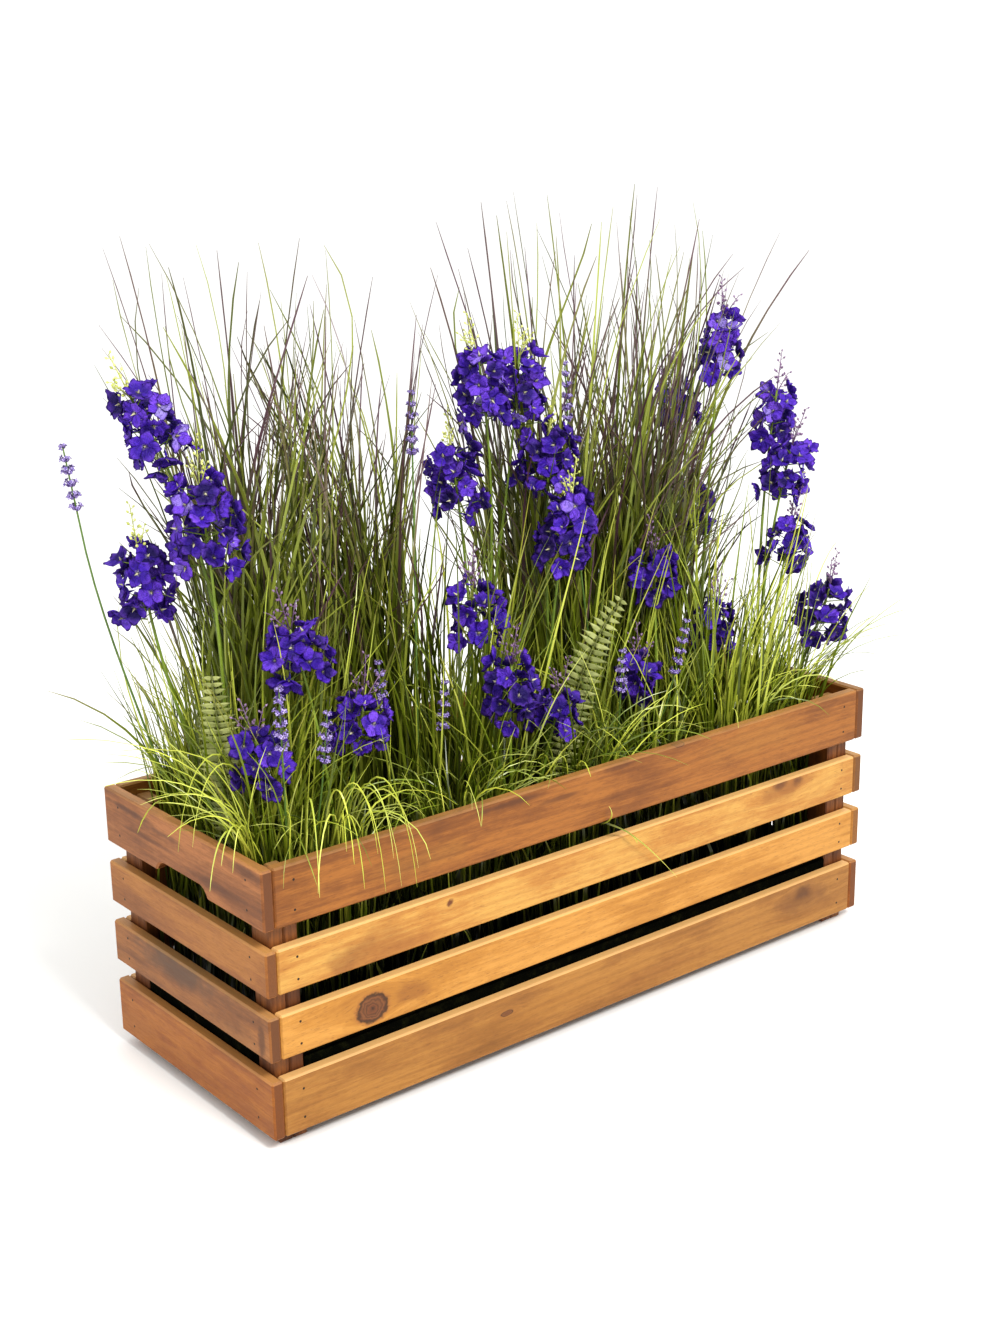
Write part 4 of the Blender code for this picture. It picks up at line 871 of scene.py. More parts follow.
# %% Stray blades
STRAY_SEED = 380
STRAY_WIDTH = 2.7
FOUNTAIN_FOOT, FOUNTAIN_ROOM = 0.10, 0.0025
STRAY_HANDLES = (
    ((0.000, -0.124, 0.214), (0.006, -0.162, 0.230), (0.052, -0.156, 0.186), (0.104, -0.147, 0.132)),
    ((0.002, -0.126, 0.214), (0.008, -0.150, 0.214), (0.012, -0.152, 0.226), (0.006, -0.149, 0.237)),
    ((0.006, -0.124, 0.215), (0.020, -0.154, 0.212), (0.034, -0.154, 0.204), (0.046, -0.148, 0.186)),
)
# Each blade's root, its tip and the height of its middle handles.
FOUNTAIN = (
    ((-0.326, -0.102), (-0.347, -0.160, 0.245), 0.375),
    ((-0.312, -0.106), (-0.305, -0.154, 0.263), 0.370),
    ((-0.306, -0.106), (-0.279, -0.154, 0.266), 0.372),
    ((-0.304, -0.108), (-0.280, -0.166, 0.233), 0.378),
    ((-0.300, -0.108), (-0.266, -0.171, 0.236), 0.376),
    ((-0.294, -0.110), (-0.240, -0.162, 0.244), 0.364),
    ((-0.290, -0.108), (-0.266, -0.160, 0.260), 0.370),
    ((-0.286, -0.104), (-0.248, -0.170, 0.230), 0.384),
    ((-0.348, -0.094), (-0.361, -0.152, 0.266), 0.340),
    ((-0.352, -0.092), (-0.370, -0.154, 0.263), 0.344),
    ((-0.354, -0.090), (-0.378, -0.151, 0.276), 0.338),
    ((-0.362, -0.086), (-0.426, -0.107, 0.256), 0.336),
    ((-0.360, -0.090), (-0.416, -0.112, 0.279), 0.336),
    ((-0.362, -0.084), (-0.412, -0.124, 0.275), 0.338),
    ((-0.336, -0.072), (-0.424, -0.078, 0.288), 0.400),
    ((-0.332, -0.060), (-0.432, -0.066, 0.282), 0.410),
)


def cubic(handles, rings):
    t = np.linspace(0, 1, rings)[:, None]
    weights = np.hstack([(1 - t) ** 3, 3 * t * (1 - t) ** 2, 3 * t**2 * (1 - t), t**3])
    return weights @ np.asarray(handles)


def make_stray():
    rng = np.random.default_rng(STRAY_SEED)
    falling = np.array([
        cubic([(*root, FOUNTAIN_FOOT), (*root, crest),
               (0.2 * root[0] + 0.8 * tip[0], 0.1 * root[1] + 0.9 * tip[1], crest), tip], STEPS + 1)
        for root, tip, crest in FOUNTAIN
    ])
    clear = clear_of_crate(falling, FOUNTAIN_ROOM)
    print("fountain blades", int(clear.sum()), "of", len(FOUNTAIN))
    fine = np.concatenate([np.array([cubic(handles, STEPS + 1) for handles in STRAY_HANDLES]), falling[clear]])
    style = {**STYLES["tuft"], "width": STRAY_WIDTH}
    finish_blades("stray", blade_mesh(fine, np.full(len(fine), 90.0), style, rng, len(fine)), style)


make_stray()

# %% [markdown]
# ## Larkspur
#
# Each stem carries a head of florets, each with five broad ruffled petals of dyed polyester cloth
# round a pale throat, and above them a spray of unopened buds. A petal is a surface of two
# parameters, across and along, worked out for all petals at once. Its back lies half a millimetre
# behind its front and they share the rim, so a petal is a closed thin lens.

# %% Petals
BROAD, STRAP = (0.05, 0.72, 0.85), (0.24, 0.66, 0.62)


def grid_quads(index):
    """Four-sided faces between the rows and columns of an array of point numbers."""
    return np.stack([index[:-1, :-1], index[:-1, 1:], index[1:, 1:], index[1:, :-1]], -1).reshape(-1, 4)


def petals(base, outward, facing, length, width, cup, ruffle, phase, thickness=0.45 * MM, outline=BROAD, grid=(9, 5)):
    """Each petal starts at base and grows along outward, with facing as its upper side.

    With u across and v along, and the outline's three numbers a, b and p:
    half width = width / 2 * sin(pi * (a + b * v)) ** p
    distance = length * (v - (0.30 * u^2 + notch) * v^2)
    height = cup * (sin(pi * v) - 0.9 * v^3 * u^2) + ruffle * wave
    wave = sin(6.5 * u + 2 * v + phase) * (0.40 + 0.60 * |u|) * v
    notch = 0.10 * cos(3 * phase) * exp(-(u - 0.3 * sin(phase))^2 / 0.04), a small notch or point.
    """
    count = len(base)
    columns, rows = grid
    side = np.cross(facing, outward)
    u, v = np.linspace(-1, 1, columns)[None, None, :], np.linspace(0, 1, rows)[None, :, None]
    length, width, cup, ruffle, phase = (values[:, None, None] for values in (length, width, cup, ruffle, phase))
    base, outward, side, facing = (vectors[:, None, None, :] for vectors in (base, outward, side, facing))
    start, stretch, power = outline
    half = 0.5 * width * np.sin(math.pi * (start + stretch * v)) ** power
    notch = 0.10 * np.cos(3 * phase) * np.exp(-((u - 0.3 * np.sin(phase)) ** 2) / 0.04)
    distance = length * (v - (0.30 * u**2 + notch) * v**2)
    wave = np.sin(6.5 * u + 2.0 * v + phase) * (0.40 + 0.60 * np.abs(u)) * v
    height = cup * (np.sin(math.pi * v) - 0.9 * v**3 * u**2) + ruffle * wave
    front = base + distance[..., None] * outward + (u * half)[..., None] * side + height[..., None] * facing
    back = front[:, 1:-1, 1:-1] - thickness * facing
    points = np.concatenate([front.reshape(count, -1, 3), back.reshape(count, -1, 3)], axis=1)
    over = np.arange(rows * columns).reshape(rows, columns)
    under = over.copy()
    under[1:-1, 1:-1] = rows * columns + np.arange((rows - 2) * (columns - 2)).reshape(rows - 2, columns - 2)
    one = np.vstack([grid_quads(over), grid_quads(under)[:, [0, 3, 2, 1]]])
    per = points.shape[1]
    faces = (one[None] + per * np.arange(count)[:, None, None]).reshape(-1, 4)
    where = np.stack(np.broadcast_arrays(0.5 + 0.5 * u, v), -1)
    where = np.concatenate([where.reshape(1, -1, 2), where[:, 1:-1, 1:-1].reshape(1, -1, 2)], axis=1)
    return (points.reshape(-1, 3), [faces]), np.tile(where, (count, 1, 1)).reshape(-1, 2), per


# %% Petal and stem materials
def dyed_petal(name, deep, middle, bright, pale, throat):
    """Dyed polyester satin, crinkled: veins run along it, its hem is dark, and the palest petals are washed out."""
    material, tree = new_material(name)
    across, along, _ = add(tree, "SeparateXYZ", {0: add(tree, "UVMap", uv_map="place")}).node.outputs
    tint = add(tree, "Attribute", out="Fac", attribute_name="tint")
    colour = add(
        tree, "ValToRGB", {"Fac": tint}, stops=[(0.0, deep), (0.42, middle), (0.82, bright), (0.98, pale)]
    )
    where = add(tree, "TexCoord", out="Object")
    crinkles = add(tree, "TexNoise", {"Vector": where, "Scale": 260.0, "Detail": 3.0, "Distortion": 1.2})
    # Painted shade: the hollows of the crinkles are mixed towards the deep colour.
    painted_crease_shade = add(tree, "ValToRGB", {"Fac": crinkles}, stops=[(0.36, 0.50), (0.52, 0.0)])
    veins = add(tree, "Math", {0: across, 1: 44.0}, operation="MULTIPLY")
    veins = add(tree, "Math", {0: veins}, operation="SINE")
    veins = add(tree, "MapRange", {"Value": veins, "From Min": 0.2, "To Max": 0.35})
    # Painted light: the outer half of each petal is mixed towards the bright colour, as if light came through the
    # thin cloth.
    painted_edge_light = add(tree, "MapRange", {"Value": along, "From Min": 0.50, "To Max": 0.48})
    beside = add(tree, "Math", {0: across, 1: 2.0, 2: -1.0}, operation="MULTIPLY_ADD")
    beside = add(tree, "Math", {0: beside}, operation="ABSOLUTE")
    outer = add(tree, "Math", {0: beside, 1: along}, operation="MAXIMUM")
    hem = add(tree, "MapRange", {"Value": outer, "From Min": 0.82, "To Max": 0.60})
    inner = add(tree, "MapRange", {"Value": along, "From Min": 0.16, "From Max": 0.0, "To Max": 0.8})
    for share, over in ((painted_crease_shade, deep), (veins, deep), (painted_edge_light, bright), (hem, deep), (inner, throat)):
        colour = add(tree, "Mix", {"Factor": share, 6: colour, 7: over}, **COLOURS)
    bump = add(tree, "Bump", {"Height": crinkles, "Strength": 1.0, "Distance": 2.2 * MM})
    shader = add(
        tree, "BsdfPrincipled",
        {"Base Color": colour, "Roughness": 0.55, "Normal": bump, "Sheen Weight": 0.20, "Sheen Roughness": 0.4,
         "Sheen Tint": bright, "IOR": 1.36},
    )
    add(tree, "OutputMaterial", {"Surface": shader})
    return material


def moulded(name, dark, light, roughness, size):
    """Moulded plastic with a slightly mottled colour. size is the mottle's in metres."""
    material, tree = new_material(name)
    where = add(tree, "TexCoord", out="Object")
    tint = add(tree, "Attribute", out="Fac", attribute_name="tint")
    mottle = add(tree, "TexNoise", {"Vector": where, "Scale": 1 / size, "Detail": 3.0})
    mixed = add(tree, "Math", {0: mottle, 1: 0.6, 2: tint}, operation="MULTIPLY_ADD")
    colour = add(tree, "ValToRGB", {"Fac": mixed}, stops=[(0.25, dark), (1.0, light)])
    shader = add(tree, "BsdfPrincipled", {"Base Color": colour, "Roughness": roughness, "IOR": 1.5})
    add(tree, "OutputMaterial", {"Surface": shader})
    return material


VIOLET_PETAL = dyed_petal("dyed_polyester_violet", "#1A0450", "#431BA6", "#7E50DA", "#A090D4", "#B4AACC")
THROAT = moulded("moulded_polyethylene_throat", "#9E9A6A", "#DAD6AE", 0.5, 2 * MM)
STEM_GREEN = moulded("moulded_polyethylene_stem", "#566C1A", "#8A9E36", 0.45, 6 * MM)
BUD_GREEN = moulded("moulded_polyethylene_bud_green", "#A9B04C", "#D9DC8C", 0.5, 3 * MM)
BUD_PURPLE = moulded("moulded_polyethylene_bud_purple", "#5E4260", "#957A9A", 0.5, 3 * MM)

# %% Larkspur heads
# Each plant's root and its heads: middle, lean, width, height, and 1 where the bud spray is purple.
LARKSPUR = {
    "larkspur_left": ((-0.316, 0.028), (
        ((-0.384, 0.022, 0.642), (-0.55, 0.00), 0.054, 0.088, 0),
        ((-0.350, -0.006, 0.556), (-0.10, 0.00), 0.078, 0.088, 0),
        ((-0.387, 0.048, 0.496), (-0.08, 0.00), 0.052, 0.078, 0))),
    "larkspur_left_front": ((-0.262, -0.064), (
        ((-0.294, -0.060, 0.437), (-0.30, 0.00), 0.060, 0.060, 1),
        ((-0.231, -0.064, 0.356), (0.15, -0.10), 0.062, 0.058, 1),
        ((-0.350, -0.078, 0.352), (-0.25, -0.05), 0.054, 0.054, 1))),
    "larkspur_centre_back": ((-0.008, 0.050), (
        ((0.008, 0.044, 0.634), (-0.15, 0.05), 0.060, 0.080, 0),
        ((0.058, 0.050, 0.626), (0.05, -0.05), 0.062, 0.082, 0),
        ((-0.012, 0.066, 0.536), (-0.10, 0.10), 0.060, 0.078, 0))),
    "larkspur_centre": ((0.052, -0.004), (
        ((0.075, 0.022, 0.549), (0.10, 0.05), 0.070, 0.070, 0),
        ((0.060, -0.022, 0.486), (0.20, -0.10), 0.066, 0.084, 0))),
    "larkspur_centre_front": ((-0.046, -0.072), (
        ((-0.074, -0.042, 0.428), (0.05, 0.05), 0.058, 0.068, 1),
        ((-0.069, -0.088, 0.360), (-0.05, -0.15), 0.058, 0.070, 1),
        ((-0.010, -0.088, 0.322), (0.15, -0.15), 0.046, 0.046, 1))),
    "larkspur_right_front": ((0.168, -0.046), (
        ((0.186, -0.022, 0.417), (0.00, 0.05), 0.054, 0.056, 1),
        ((0.132, -0.056, 0.324), (-0.10, -0.15), 0.048, 0.046, 1),
        ((0.262, -0.036, 0.352), (0.20, 0.00), 0.044, 0.064, 1))),
    "larkspur_right_back": ((0.336, 0.064), (
        ((0.362, 0.060, 0.639), (0.10, 0.00), 0.046, 0.078, 1),
        ((0.338, 0.100, 0.568), (-0.10, 0.15), 0.046, 0.054, 1),
        ((0.372, 0.112, 0.440), (0.25, 0.30), 0.054, 0.062, 1))),
    "larkspur_right": ((0.322, -0.046), (
        ((0.420, 0.030, 0.556), (0.25, 0.05), 0.050, 0.072, 1),
        ((0.400, -0.010, 0.502), (0.30, -0.05), 0.060, 0.070, 1),
        ((0.390, -0.026, 0.421), (0.20, -0.05), 0.056, 0.060, 1),
        ((0.398, -0.074, 0.350), (0.25, -0.15), 0.066, 0.066, 1))),
}
GOLDEN_ANGLE = math.pi * (3 - math.sqrt(5))
AREA_PER_FLORET = 0.00074
FLORET_RADIUS = 14.6 * MM
# A floret's petals: their number, and their width, cup and ruffle in millimetres.
PETALS, PETAL_WIDTH, PETAL_CUP, PETAL_RUFFLE = 5, 13.6, 2.0, 1.60
STEM_RADIUS, STEM_RINGS, STEM_CORNERS = 2.1 * MM, 22, 7
STEM_CIRCLE, SPIKE_CIRCLE = 0.004, 0.0025
# Between these heights a head's tints go from a painted shade low down to full brightness higher up, for the light
# from above.
HEIGHT_SHADE_LOW, HEIGHT_SHADE_HIGH = 0.38, 0.60
LARKSPUR_SEED = 900


def frame_of(axis):
    """Two directions square to an axis and to each other."""
    first = unit(np.cross(axis, (0.0, 1.0, 0.0)))
    return first, np.cross(axis, first)


def spokes(angle, first, second):
    """Directions at angles round an axis, from two directions square to it."""
    return np.cos(angle)[..., None] * first + np.sin(angle)[..., None] * second


def stem_points(root, top, axis, rings):
    """A cubic curve that leaves the bed upright and arrives along the head's axis."""
    rise = top[2] - root[2]
    return cubic([root, root + (0.0, 0.0, 0.4 * rise), top - 0.35 * rise * axis, top], rings)


def stem_foot(root, out, stem, stems):
    """The feet of a plant's stems stand on a circle of radius out about its root."""
    around = 2 * math.pi * stem / stems
    return np.array([root[0] + out * math.cos(around), root[1] + out * math.sin(around), ROOT_Z])


def rods(pieces, slot, starts, ends, radius, profile, corners, tint_to, rng):
    """Straight closed pieces. The radius is multiplied by the profile from the start to the end."""
    t = np.linspace(0, 1, len(profile))
    paths = starts[:, None, :] + t[None, :, None] * (ends - starts)[:, None, :]
    side = unit(np.cross(ends - starts, rng.normal(0, 1, (len(starts), 3))))
    wide = np.broadcast_to(radius, len(starts))[:, None] * profile
    tint = np.repeat(rng.uniform(0, tint_to, len(starts)), len(profile) * corners)
    pieces.add(tubes(paths, wide, wide, side, corners), slot, tint)


def spindles(pieces, slot, starts, ends, radius, rng, corners=6, rings=6, swell=0.5):
    """Closed buds: the radius follows sin(pi * t ** swell) between two ends."""
    profile = np.maximum(np.sin(math.pi * np.linspace(0, 1, rings) ** swell), 0.06)
    rods(pieces, slot, starts, ends, radius, profile, corners, 0.7, rng)


def stalks(pieces, slot, starts, ends, radius, rng):
    """Thin four-cornered stalks that taper to 0.6 of their radius."""
    rods(pieces, slot, starts, ends, radius, 1 - 0.4 * np.linspace(0, 1, 4), 4, 0.5, rng)


def larkspur_head(pieces, centre, axis, width, height, spray, rng):
    """Florets on a golden-angle spiral, from hanging ones at the foot to upright ones at the top."""
    first, second = frame_of(axis)
    count = int(np.clip(round(math.pi * width * height / AREA_PER_FLORET), 11, 29))
    share = (np.arange(count) + 0.5) / count
    around = rng.uniform(0, 2 * math.pi) + GOLDEN_ANGLE * np.arange(count)
    spoke = spokes(around, first, second)
    lift = np.radians(-16 + 66 * share + rng.normal(0, 9, count))[:, None]
    facing = unit(np.cos(lift) * spoke + np.sin(lift) * axis + rng.normal(0, 0.34, (count, 3)))
    on_axis = centre + ((share - 0.5) * 0.86 * height)[:, None] * axis
    reach = (0.5 * width - 0.25 * FLORET_RADIUS) * (1 - 0.30 * share) * rng.uniform(0.62, 1.08, count)
    middle = on_axis + reach[:, None] * spoke
    one = unit(np.cross(facing, unit(rng.normal(0, 1, (count, 3)))))
    two = np.cross(facing, one)
    angle = 2 * math.pi * np.arange(PETALS)[None, :] / PETALS + rng.normal(0, 0.10, (count, PETALS))
    outward = spokes(angle, one[:, None, :], two[:, None, :])
    tilt = (rng.normal(0.40, 0.16, (count, 1)) + rng.normal(0, 0.16, (count, PETALS)))[..., None]
    petal_facing = unit(facing[:, None, :] - tilt * outward).reshape(-1, 3)
    outward = unit(outward + tilt * facing[:, None, :]).reshape(-1, 3)
    scale = np.repeat(rng.uniform(0.85, 1.12, count), PETALS)
    total = PETALS * count
    base = np.repeat(middle, PETALS, axis=0) + 0.6 * MM * outward
    base += petal_facing * (rng.uniform(0.0, 0.9, total) * MM)[:, None]
    made, where, per = petals(
        base, outward, petal_facing,
        scale * FLORET_RADIUS * rng.uniform(0.92, 1.08, total),
        scale * PETAL_WIDTH * MM * rng.uniform(0.85, 1.12, total),
        scale * PETAL_CUP * MM * rng.uniform(-1.0, 0.4, total),
        PETAL_RUFFLE * MM * rng.uniform(0.4, 1.4, total),
        rng.uniform(0, 2 * math.pi, total),
    )
    # Painted shade: lower heads take darker tints, for less light from above.
    painted_light_by_height = np.clip(0.60 + 0.45 * (centre[2] - HEIGHT_SHADE_LOW) / (HEIGHT_SHADE_HIGH - HEIGHT_SHADE_LOW), 0.60, 1.05)
    tint = np.clip(painted_light_by_height * np.repeat(rng.beta(1.1, 1.5, count), PETALS) + rng.normal(0, 0.14, total), 0, 1)
    pieces.add(made, 1, np.repeat(tint, per), where)
    spindles(pieces, 2, middle - 0.5 * MM * facing, middle + 6.0 * MM * unit(facing + 0.35 * one), 1.1 * MM, rng)
    stalks(pieces, 0, on_axis - 6 * MM * axis, middle - 0.4 * MM * facing, 0.7 * MM, rng)
    spur = middle - 9.0 * MM * facing + 2.0 * MM * axis
    spindles(pieces, 1, middle - 0.2 * MM * facing, spur, 1.3 * MM, rng, swell=0.35)
    bud_spray(pieces, centre + 0.36 * height * axis, axis, 3 + spray, rng)


def bud_spray(pieces, foot, axis, slot, rng):
    """A long twig and two shorter ones with small oval buds, each bud on a short stalk of its own."""
    first, second = frame_of(axis)
    for twig, buds in enumerate((9, 6, 6)):
        around = rng.uniform(0, 2 * math.pi)
        spread = 0.10 if twig == 0 else rng.uniform(0.35, 0.60)
        aim = unit(axis + spread * (math.cos(around) * first + math.sin(around) * second))
        length = 0.046 if twig == 0 else rng.uniform(0.024, 0.034)
        tip = foot + length * aim
        stalks(pieces, slot, foot[None], tip[None], 0.7 * MM, rng)
        place = np.linspace(0.30, 1.0, buds)
        turn = GOLDEN_ANGLE * np.arange(buds) + around
        out = spokes(turn, first, second)
        start = foot + (place * length)[:, None] * aim
        reach = (6.5 - 4.0 * place) * MM
        knee = start + reach[:, None] * unit(out + 0.5 * aim)
        stalks(pieces, slot, start, knee, 0.45 * MM, rng)
        end = knee + (4.6 - 1.6 * place)[:, None] * MM * unit(0.7 * out + aim)
        spindles(pieces, slot, knee - 0.3 * MM * out, end, (1.8 - 0.7 * place) * MM, rng, swell=0.7)


def make_larkspur(number, name):
    rng = np.random.default_rng(LARKSPUR_SEED + number)
    root, heads = LARKSPUR[name]
    pieces = Pieces()
    swelling = 1 + 0.16 * np.sin(np.linspace(0, 9 * math.pi, STEM_RINGS)) ** 8
    radius = STEM_RADIUS * (1 - 0.45 * np.linspace(0, 1, STEM_RINGS)) * swelling
    for head, (centre, lean, width, height, spray) in enumerate(heads):
        centre = np.array(centre)
        axis = unit(np.array([*lean, 1.0]))
        top = centre + 0.40 * height * axis
        path = stem_points(stem_foot(root, STEM_CIRCLE, head, len(heads)), top, axis, STEM_RINGS)[None]
        tint = np.repeat(rng.uniform(0.1, 0.5), STEM_RINGS * STEM_CORNERS)
        pieces.add(tubes(path, radius, radius, (0.0, 1.0, 0.0), STEM_CORNERS), 0, tint)
        larkspur_head(pieces, centre, axis, width, height, spray, rng)
    finish_piece(
        f"{name}_blooms", pieces, [STEM_GREEN, VIOLET_PETAL, THROAT, BUD_GREEN, BUD_PURPLE], [name]
    )


for number, name in enumerate(LARKSPUR):
    make_larkspur(number, name)
print("larkspur triangles", sum(count for name, count in TRIANGLES.items() if "blooms" in name))

# %% [markdown]
# ## Lavender
#
# A lavender spike is a row of whorls with bare stem between them. A whorl is a ring of small buds
# that lean out, and most of them carry a tiny open flower.

# %% Lavender
LILAC = moulded("flocked_polyethylene_lilac", "#54407C", "#9C88BC", 0.75, 2.5 * MM)
LILAC_PETAL = moulded("dyed_polyester_lilac", "#7A64B2", "#C6B6E6", 0.7, 2.5 * MM)
LAVENDER_STEM_GREEN = moulded("moulded_polyethylene_lavender_stem", "#3E5A24", "#6F8C3C", 0.5, 5 * MM)
# Each plant's root, and its spikes' tips and numbers of whorls.
LAVENDER = {
    "lavender_left": ((-0.333, 0.080), (((-0.439, 0.078, 0.628), 6),)),
    "lavender_front_left": ((-0.320, -0.066), (((-0.352, -0.118, 0.432), 6), ((-0.300, -0.112, 0.396), 5))),
    "lavender_centre": (
        (-0.138, -0.022), (((-0.104, 0.014, 0.645), 6), ((-0.186, -0.034, 0.402), 6), ((-0.120, -0.050, 0.372), 5))),
    "lavender_right": (
        (0.108, -0.030), (((0.106, 0.030, 0.650), 6), ((0.168, -0.088, 0.388), 6), ((0.074, -0.094, 0.376), 5))),
}
WHORL_PITCH, WHORL_BUDS = 11.5 * MM, 9
BUD_LENGTH, BUD_RADIUS = 6.4 * MM, 1.45 * MM
FLOWER_PETALS, FLOWER_LENGTH, FLOWER_WIDTH, FLOWER_CUP = 4, 2.9 * MM, 2.6 * MM, 0.3 * MM
LAVENDER_SEED = 1300


def lavender_spike(pieces, tip, along, whorls, rng):
    """A whorl's bud at angle a points along 0.9 * spoke(a) + 0.7 * stem, smaller towards the top."""
    first, second = frame_of(along)
    turn = (2 * math.pi * np.arange(FLOWER_PETALS) / FLOWER_PETALS)[None, :]
    buds, total = WHORL_BUDS, FLOWER_PETALS * WHORL_BUDS
    many = np.ones(total)
    for whorl in range(whorls):
        size = 0.62 + 0.38 * min(whorl, 2) / 2
        angle = 2 * math.pi * np.arange(buds) / buds + 0.7 * whorl + rng.normal(0, 0.12, buds)
        spoke = spokes(angle, first, second)
        down = 0.004 + WHORL_PITCH * whorl + rng.normal(0, 0.0009, buds)
        middle = tip - down[:, None] * along
        start = middle + 0.6 * MM * spoke
        aim = unit(0.9 * spoke + 0.7 * along + rng.normal(0, 0.14, (buds, 3)))
        end = start + BUD_LENGTH * size * aim
        spindles(pieces, 1, start, end, BUD_RADIUS * size, rng, corners=5, rings=5)
        one = unit(np.cross(aim, rng.normal(0, 1, (buds, 3))))
        two = np.cross(aim, one)
        outward = spokes(turn, one[:, None, :], two[:, None, :])
        outward = unit(outward + 0.5 * aim[:, None, :]).reshape(-1, 3)
        facing = unit(np.repeat(aim, FLOWER_PETALS, axis=0) - 0.5 * outward)
        base = np.repeat(end - 0.9 * MM * aim, FLOWER_PETALS, axis=0)
        made, where, per = petals(
            base, outward, facing, FLOWER_LENGTH * size * many, FLOWER_WIDTH * size * many, FLOWER_CUP * many,
            FLOWER_CUP * many, rng.uniform(0, 6, total), 0.2 * MM, grid=(3, 3),
        )
        pieces.add(made, 2, np.repeat(rng.uniform(0, 0.7, total), per), where)


def make_lavender(number, name):
    rng = np.random.default_rng(LAVENDER_SEED + number)
    root, spikes = LAVENDER[name]
    pieces = Pieces()
    for spike, (top, whorls) in enumerate(spikes):
        foot = stem_foot(root, SPIKE_CIRCLE, spike, len(spikes))
        axis = np.array(top) - foot
        axis[2] *= 1.6
        axis = unit(axis)
        lowest = np.array(top) - WHORL_PITCH * whorls * axis
        path = stem_points(foot, lowest, axis, 16)
        along = unit(path[-1] - path[-2])
        tip = lowest + WHORL_PITCH * whorls * along
        path = np.vstack([path, lowest + np.linspace(0.15, 0.97, 6)[:, None] * (tip - lowest)])
        radius = 1.45 * MM * (1 - 0.5 * np.linspace(0, 1, len(path)))
        pieces.add(tubes(path[None], radius, radius, (0.0, 1.0, 0.0), 6), 0, 0.3)
        lavender_spike(pieces, tip, along, whorls, rng)
    finish_piece(f"{name}_spikes", pieces, [LAVENDER_STEM_GREEN, LILAC, LILAC_PETAL], [name])


for number, name in enumerate(LAVENDER):
    make_lavender(number, name)
print("lavender triangles", sum(count for name, count in TRIANGLES.items() if "spikes" in name))

# %% [markdown]
# ## Fern
#
# A frond is a rib with a row of leaflets on each side. They are blunt and broad at the rib, with a
# groove along the middle and edges that wave a little.

# %% Fern
FERN_SAGE = moulded("moulded_polyethylene_fern", "#5C6426", "#ACB070", 0.6, 7 * MM)
# Root, heading, length, lean at the root and at the tip, length of a leaflet and pairs of leaflets.
FERNS = {
    "fern_front": ((0.034, -0.050), -20, 0.355, -4, 40, 0.019, 27),
    "fern_left": ((-0.322, -0.024), 182, 0.345, 9, 3, 0.019, 30),
}
FERN_FACING = math.radians(-39)
FERN_SEED = 1700


def make_fern(number, name):
    """Leaflet length follows sin(pi * (0.16 + 0.76 * g)), where g runs from the lowest to the tip."""
    rng = np.random.default_rng(FERN_SEED + number)
    root, heading, length, lean, tip_lean, leaflet, pairs = FERNS[name]
    start = np.array([[*root, ROOT_Z]])
    row = [np.array([float(value)]) for value in (heading, length, lean, tip_lean)]
    fine = blade_paths(start, *row, 2.0, np.zeros(1), np.zeros(1))[0]
    side = np.array([math.cos(FERN_FACING), math.sin(FERN_FACING), 0.0])
    pieces = Pieces()
    rib = fine[np.rint(np.linspace(0, 1, 18) * STEPS).astype(int)]
    radius = 1.5 * MM * (1 - 0.75 * np.linspace(0, 1, 18))
    pieces.add(tubes(rib[None], radius, radius, side, 6), 0, 0.15)
    grown = np.linspace(0, 1, pairs)
    share = 0.44 + 0.55 * grown
    at = share * STEPS
    low = np.minimum(at.astype(int), STEPS - 1)
    on_rib = fine[low] + (at - low)[:, None] * (fine[low + 1] - fine[low])
    along = unit(fine[low + 1] - fine[low])
    across = unit(side - (along @ side)[:, None] * along)
    size = np.sin(math.pi * (0.16 + 0.76 * grown))
    for sign in (-1, 1):
        outward = unit(sign * across + 0.16 * along + rng.normal(0, 0.04, (pairs, 3)))
        facing = unit(np.cross(outward, along)) * -sign
        facing = unit(facing + rng.normal(0, 0.10, (pairs, 3)))
        facing = unit(facing - (facing * outward).sum(-1, keepdims=True) * outward)
        reach = 0.004 + leaflet * size
        ones = np.ones(pairs)
        made, where, per = petals(
            on_rib, outward, facing, reach, 0.0066 * (0.6 + 0.4 * size), -0.9 * MM * ones,
            0.4 * MM * ones, rng.uniform(0, 6, pairs), 0.6 * MM, STRAP,
        )
        pieces.add(made, 0, np.repeat(rng.uniform(0.1, 0.6, pairs), per), where)
    finish_piece(f"{name}_frond", pieces, [FERN_SAGE], [name])


for number, name in enumerate(FERNS):
    make_fern(number, name)

# %% [markdown]
# ## Moss on the bed
#
# The plants stand in a block that is hidden under loose moss. Seen from above, or through the gaps
# between the boards, it is a dark lumpy surface. One height for each point of a grid gives that: a few
# sine waves of different length and direction for the swells, and small random lumps on them.

# %% Moss
MOSS_SEED = 77
MOSS_COLUMNS, MOSS_ROWS = 150, 56
LUMPS = 60


def dry_moss(name):
    material, tree = new_material(name)
    where = add(tree, "TexCoord", out="Object")
    clumps = add(tree, "TexNoise", {"Vector": where, "Scale": 70.0, "Detail": 8.0, "Roughness": 0.7})
    strands = add(tree, "TexVoronoi", {"Vector": where, "Scale": 420.0}, feature="F1")
    colour = add(
        tree, "ValToRGB", {"Fac": clumps},
        stops=[(0.30, "#040502"), (0.52, "#0A0B05"), (0.66, "#191A0B"), (0.80, "#332C16")],
    )
    bump = add(tree, "Bump", {"Height": strands, "Strength": 0.8, "Distance": 1.2 * MM})
    shader = add(tree, "BsdfPrincipled", {"Base Color": colour, "Roughness": 1.0, "IOR": 1.12, "Normal": bump})
    add(tree, "OutputMaterial", {"Surface": shader})
    return material


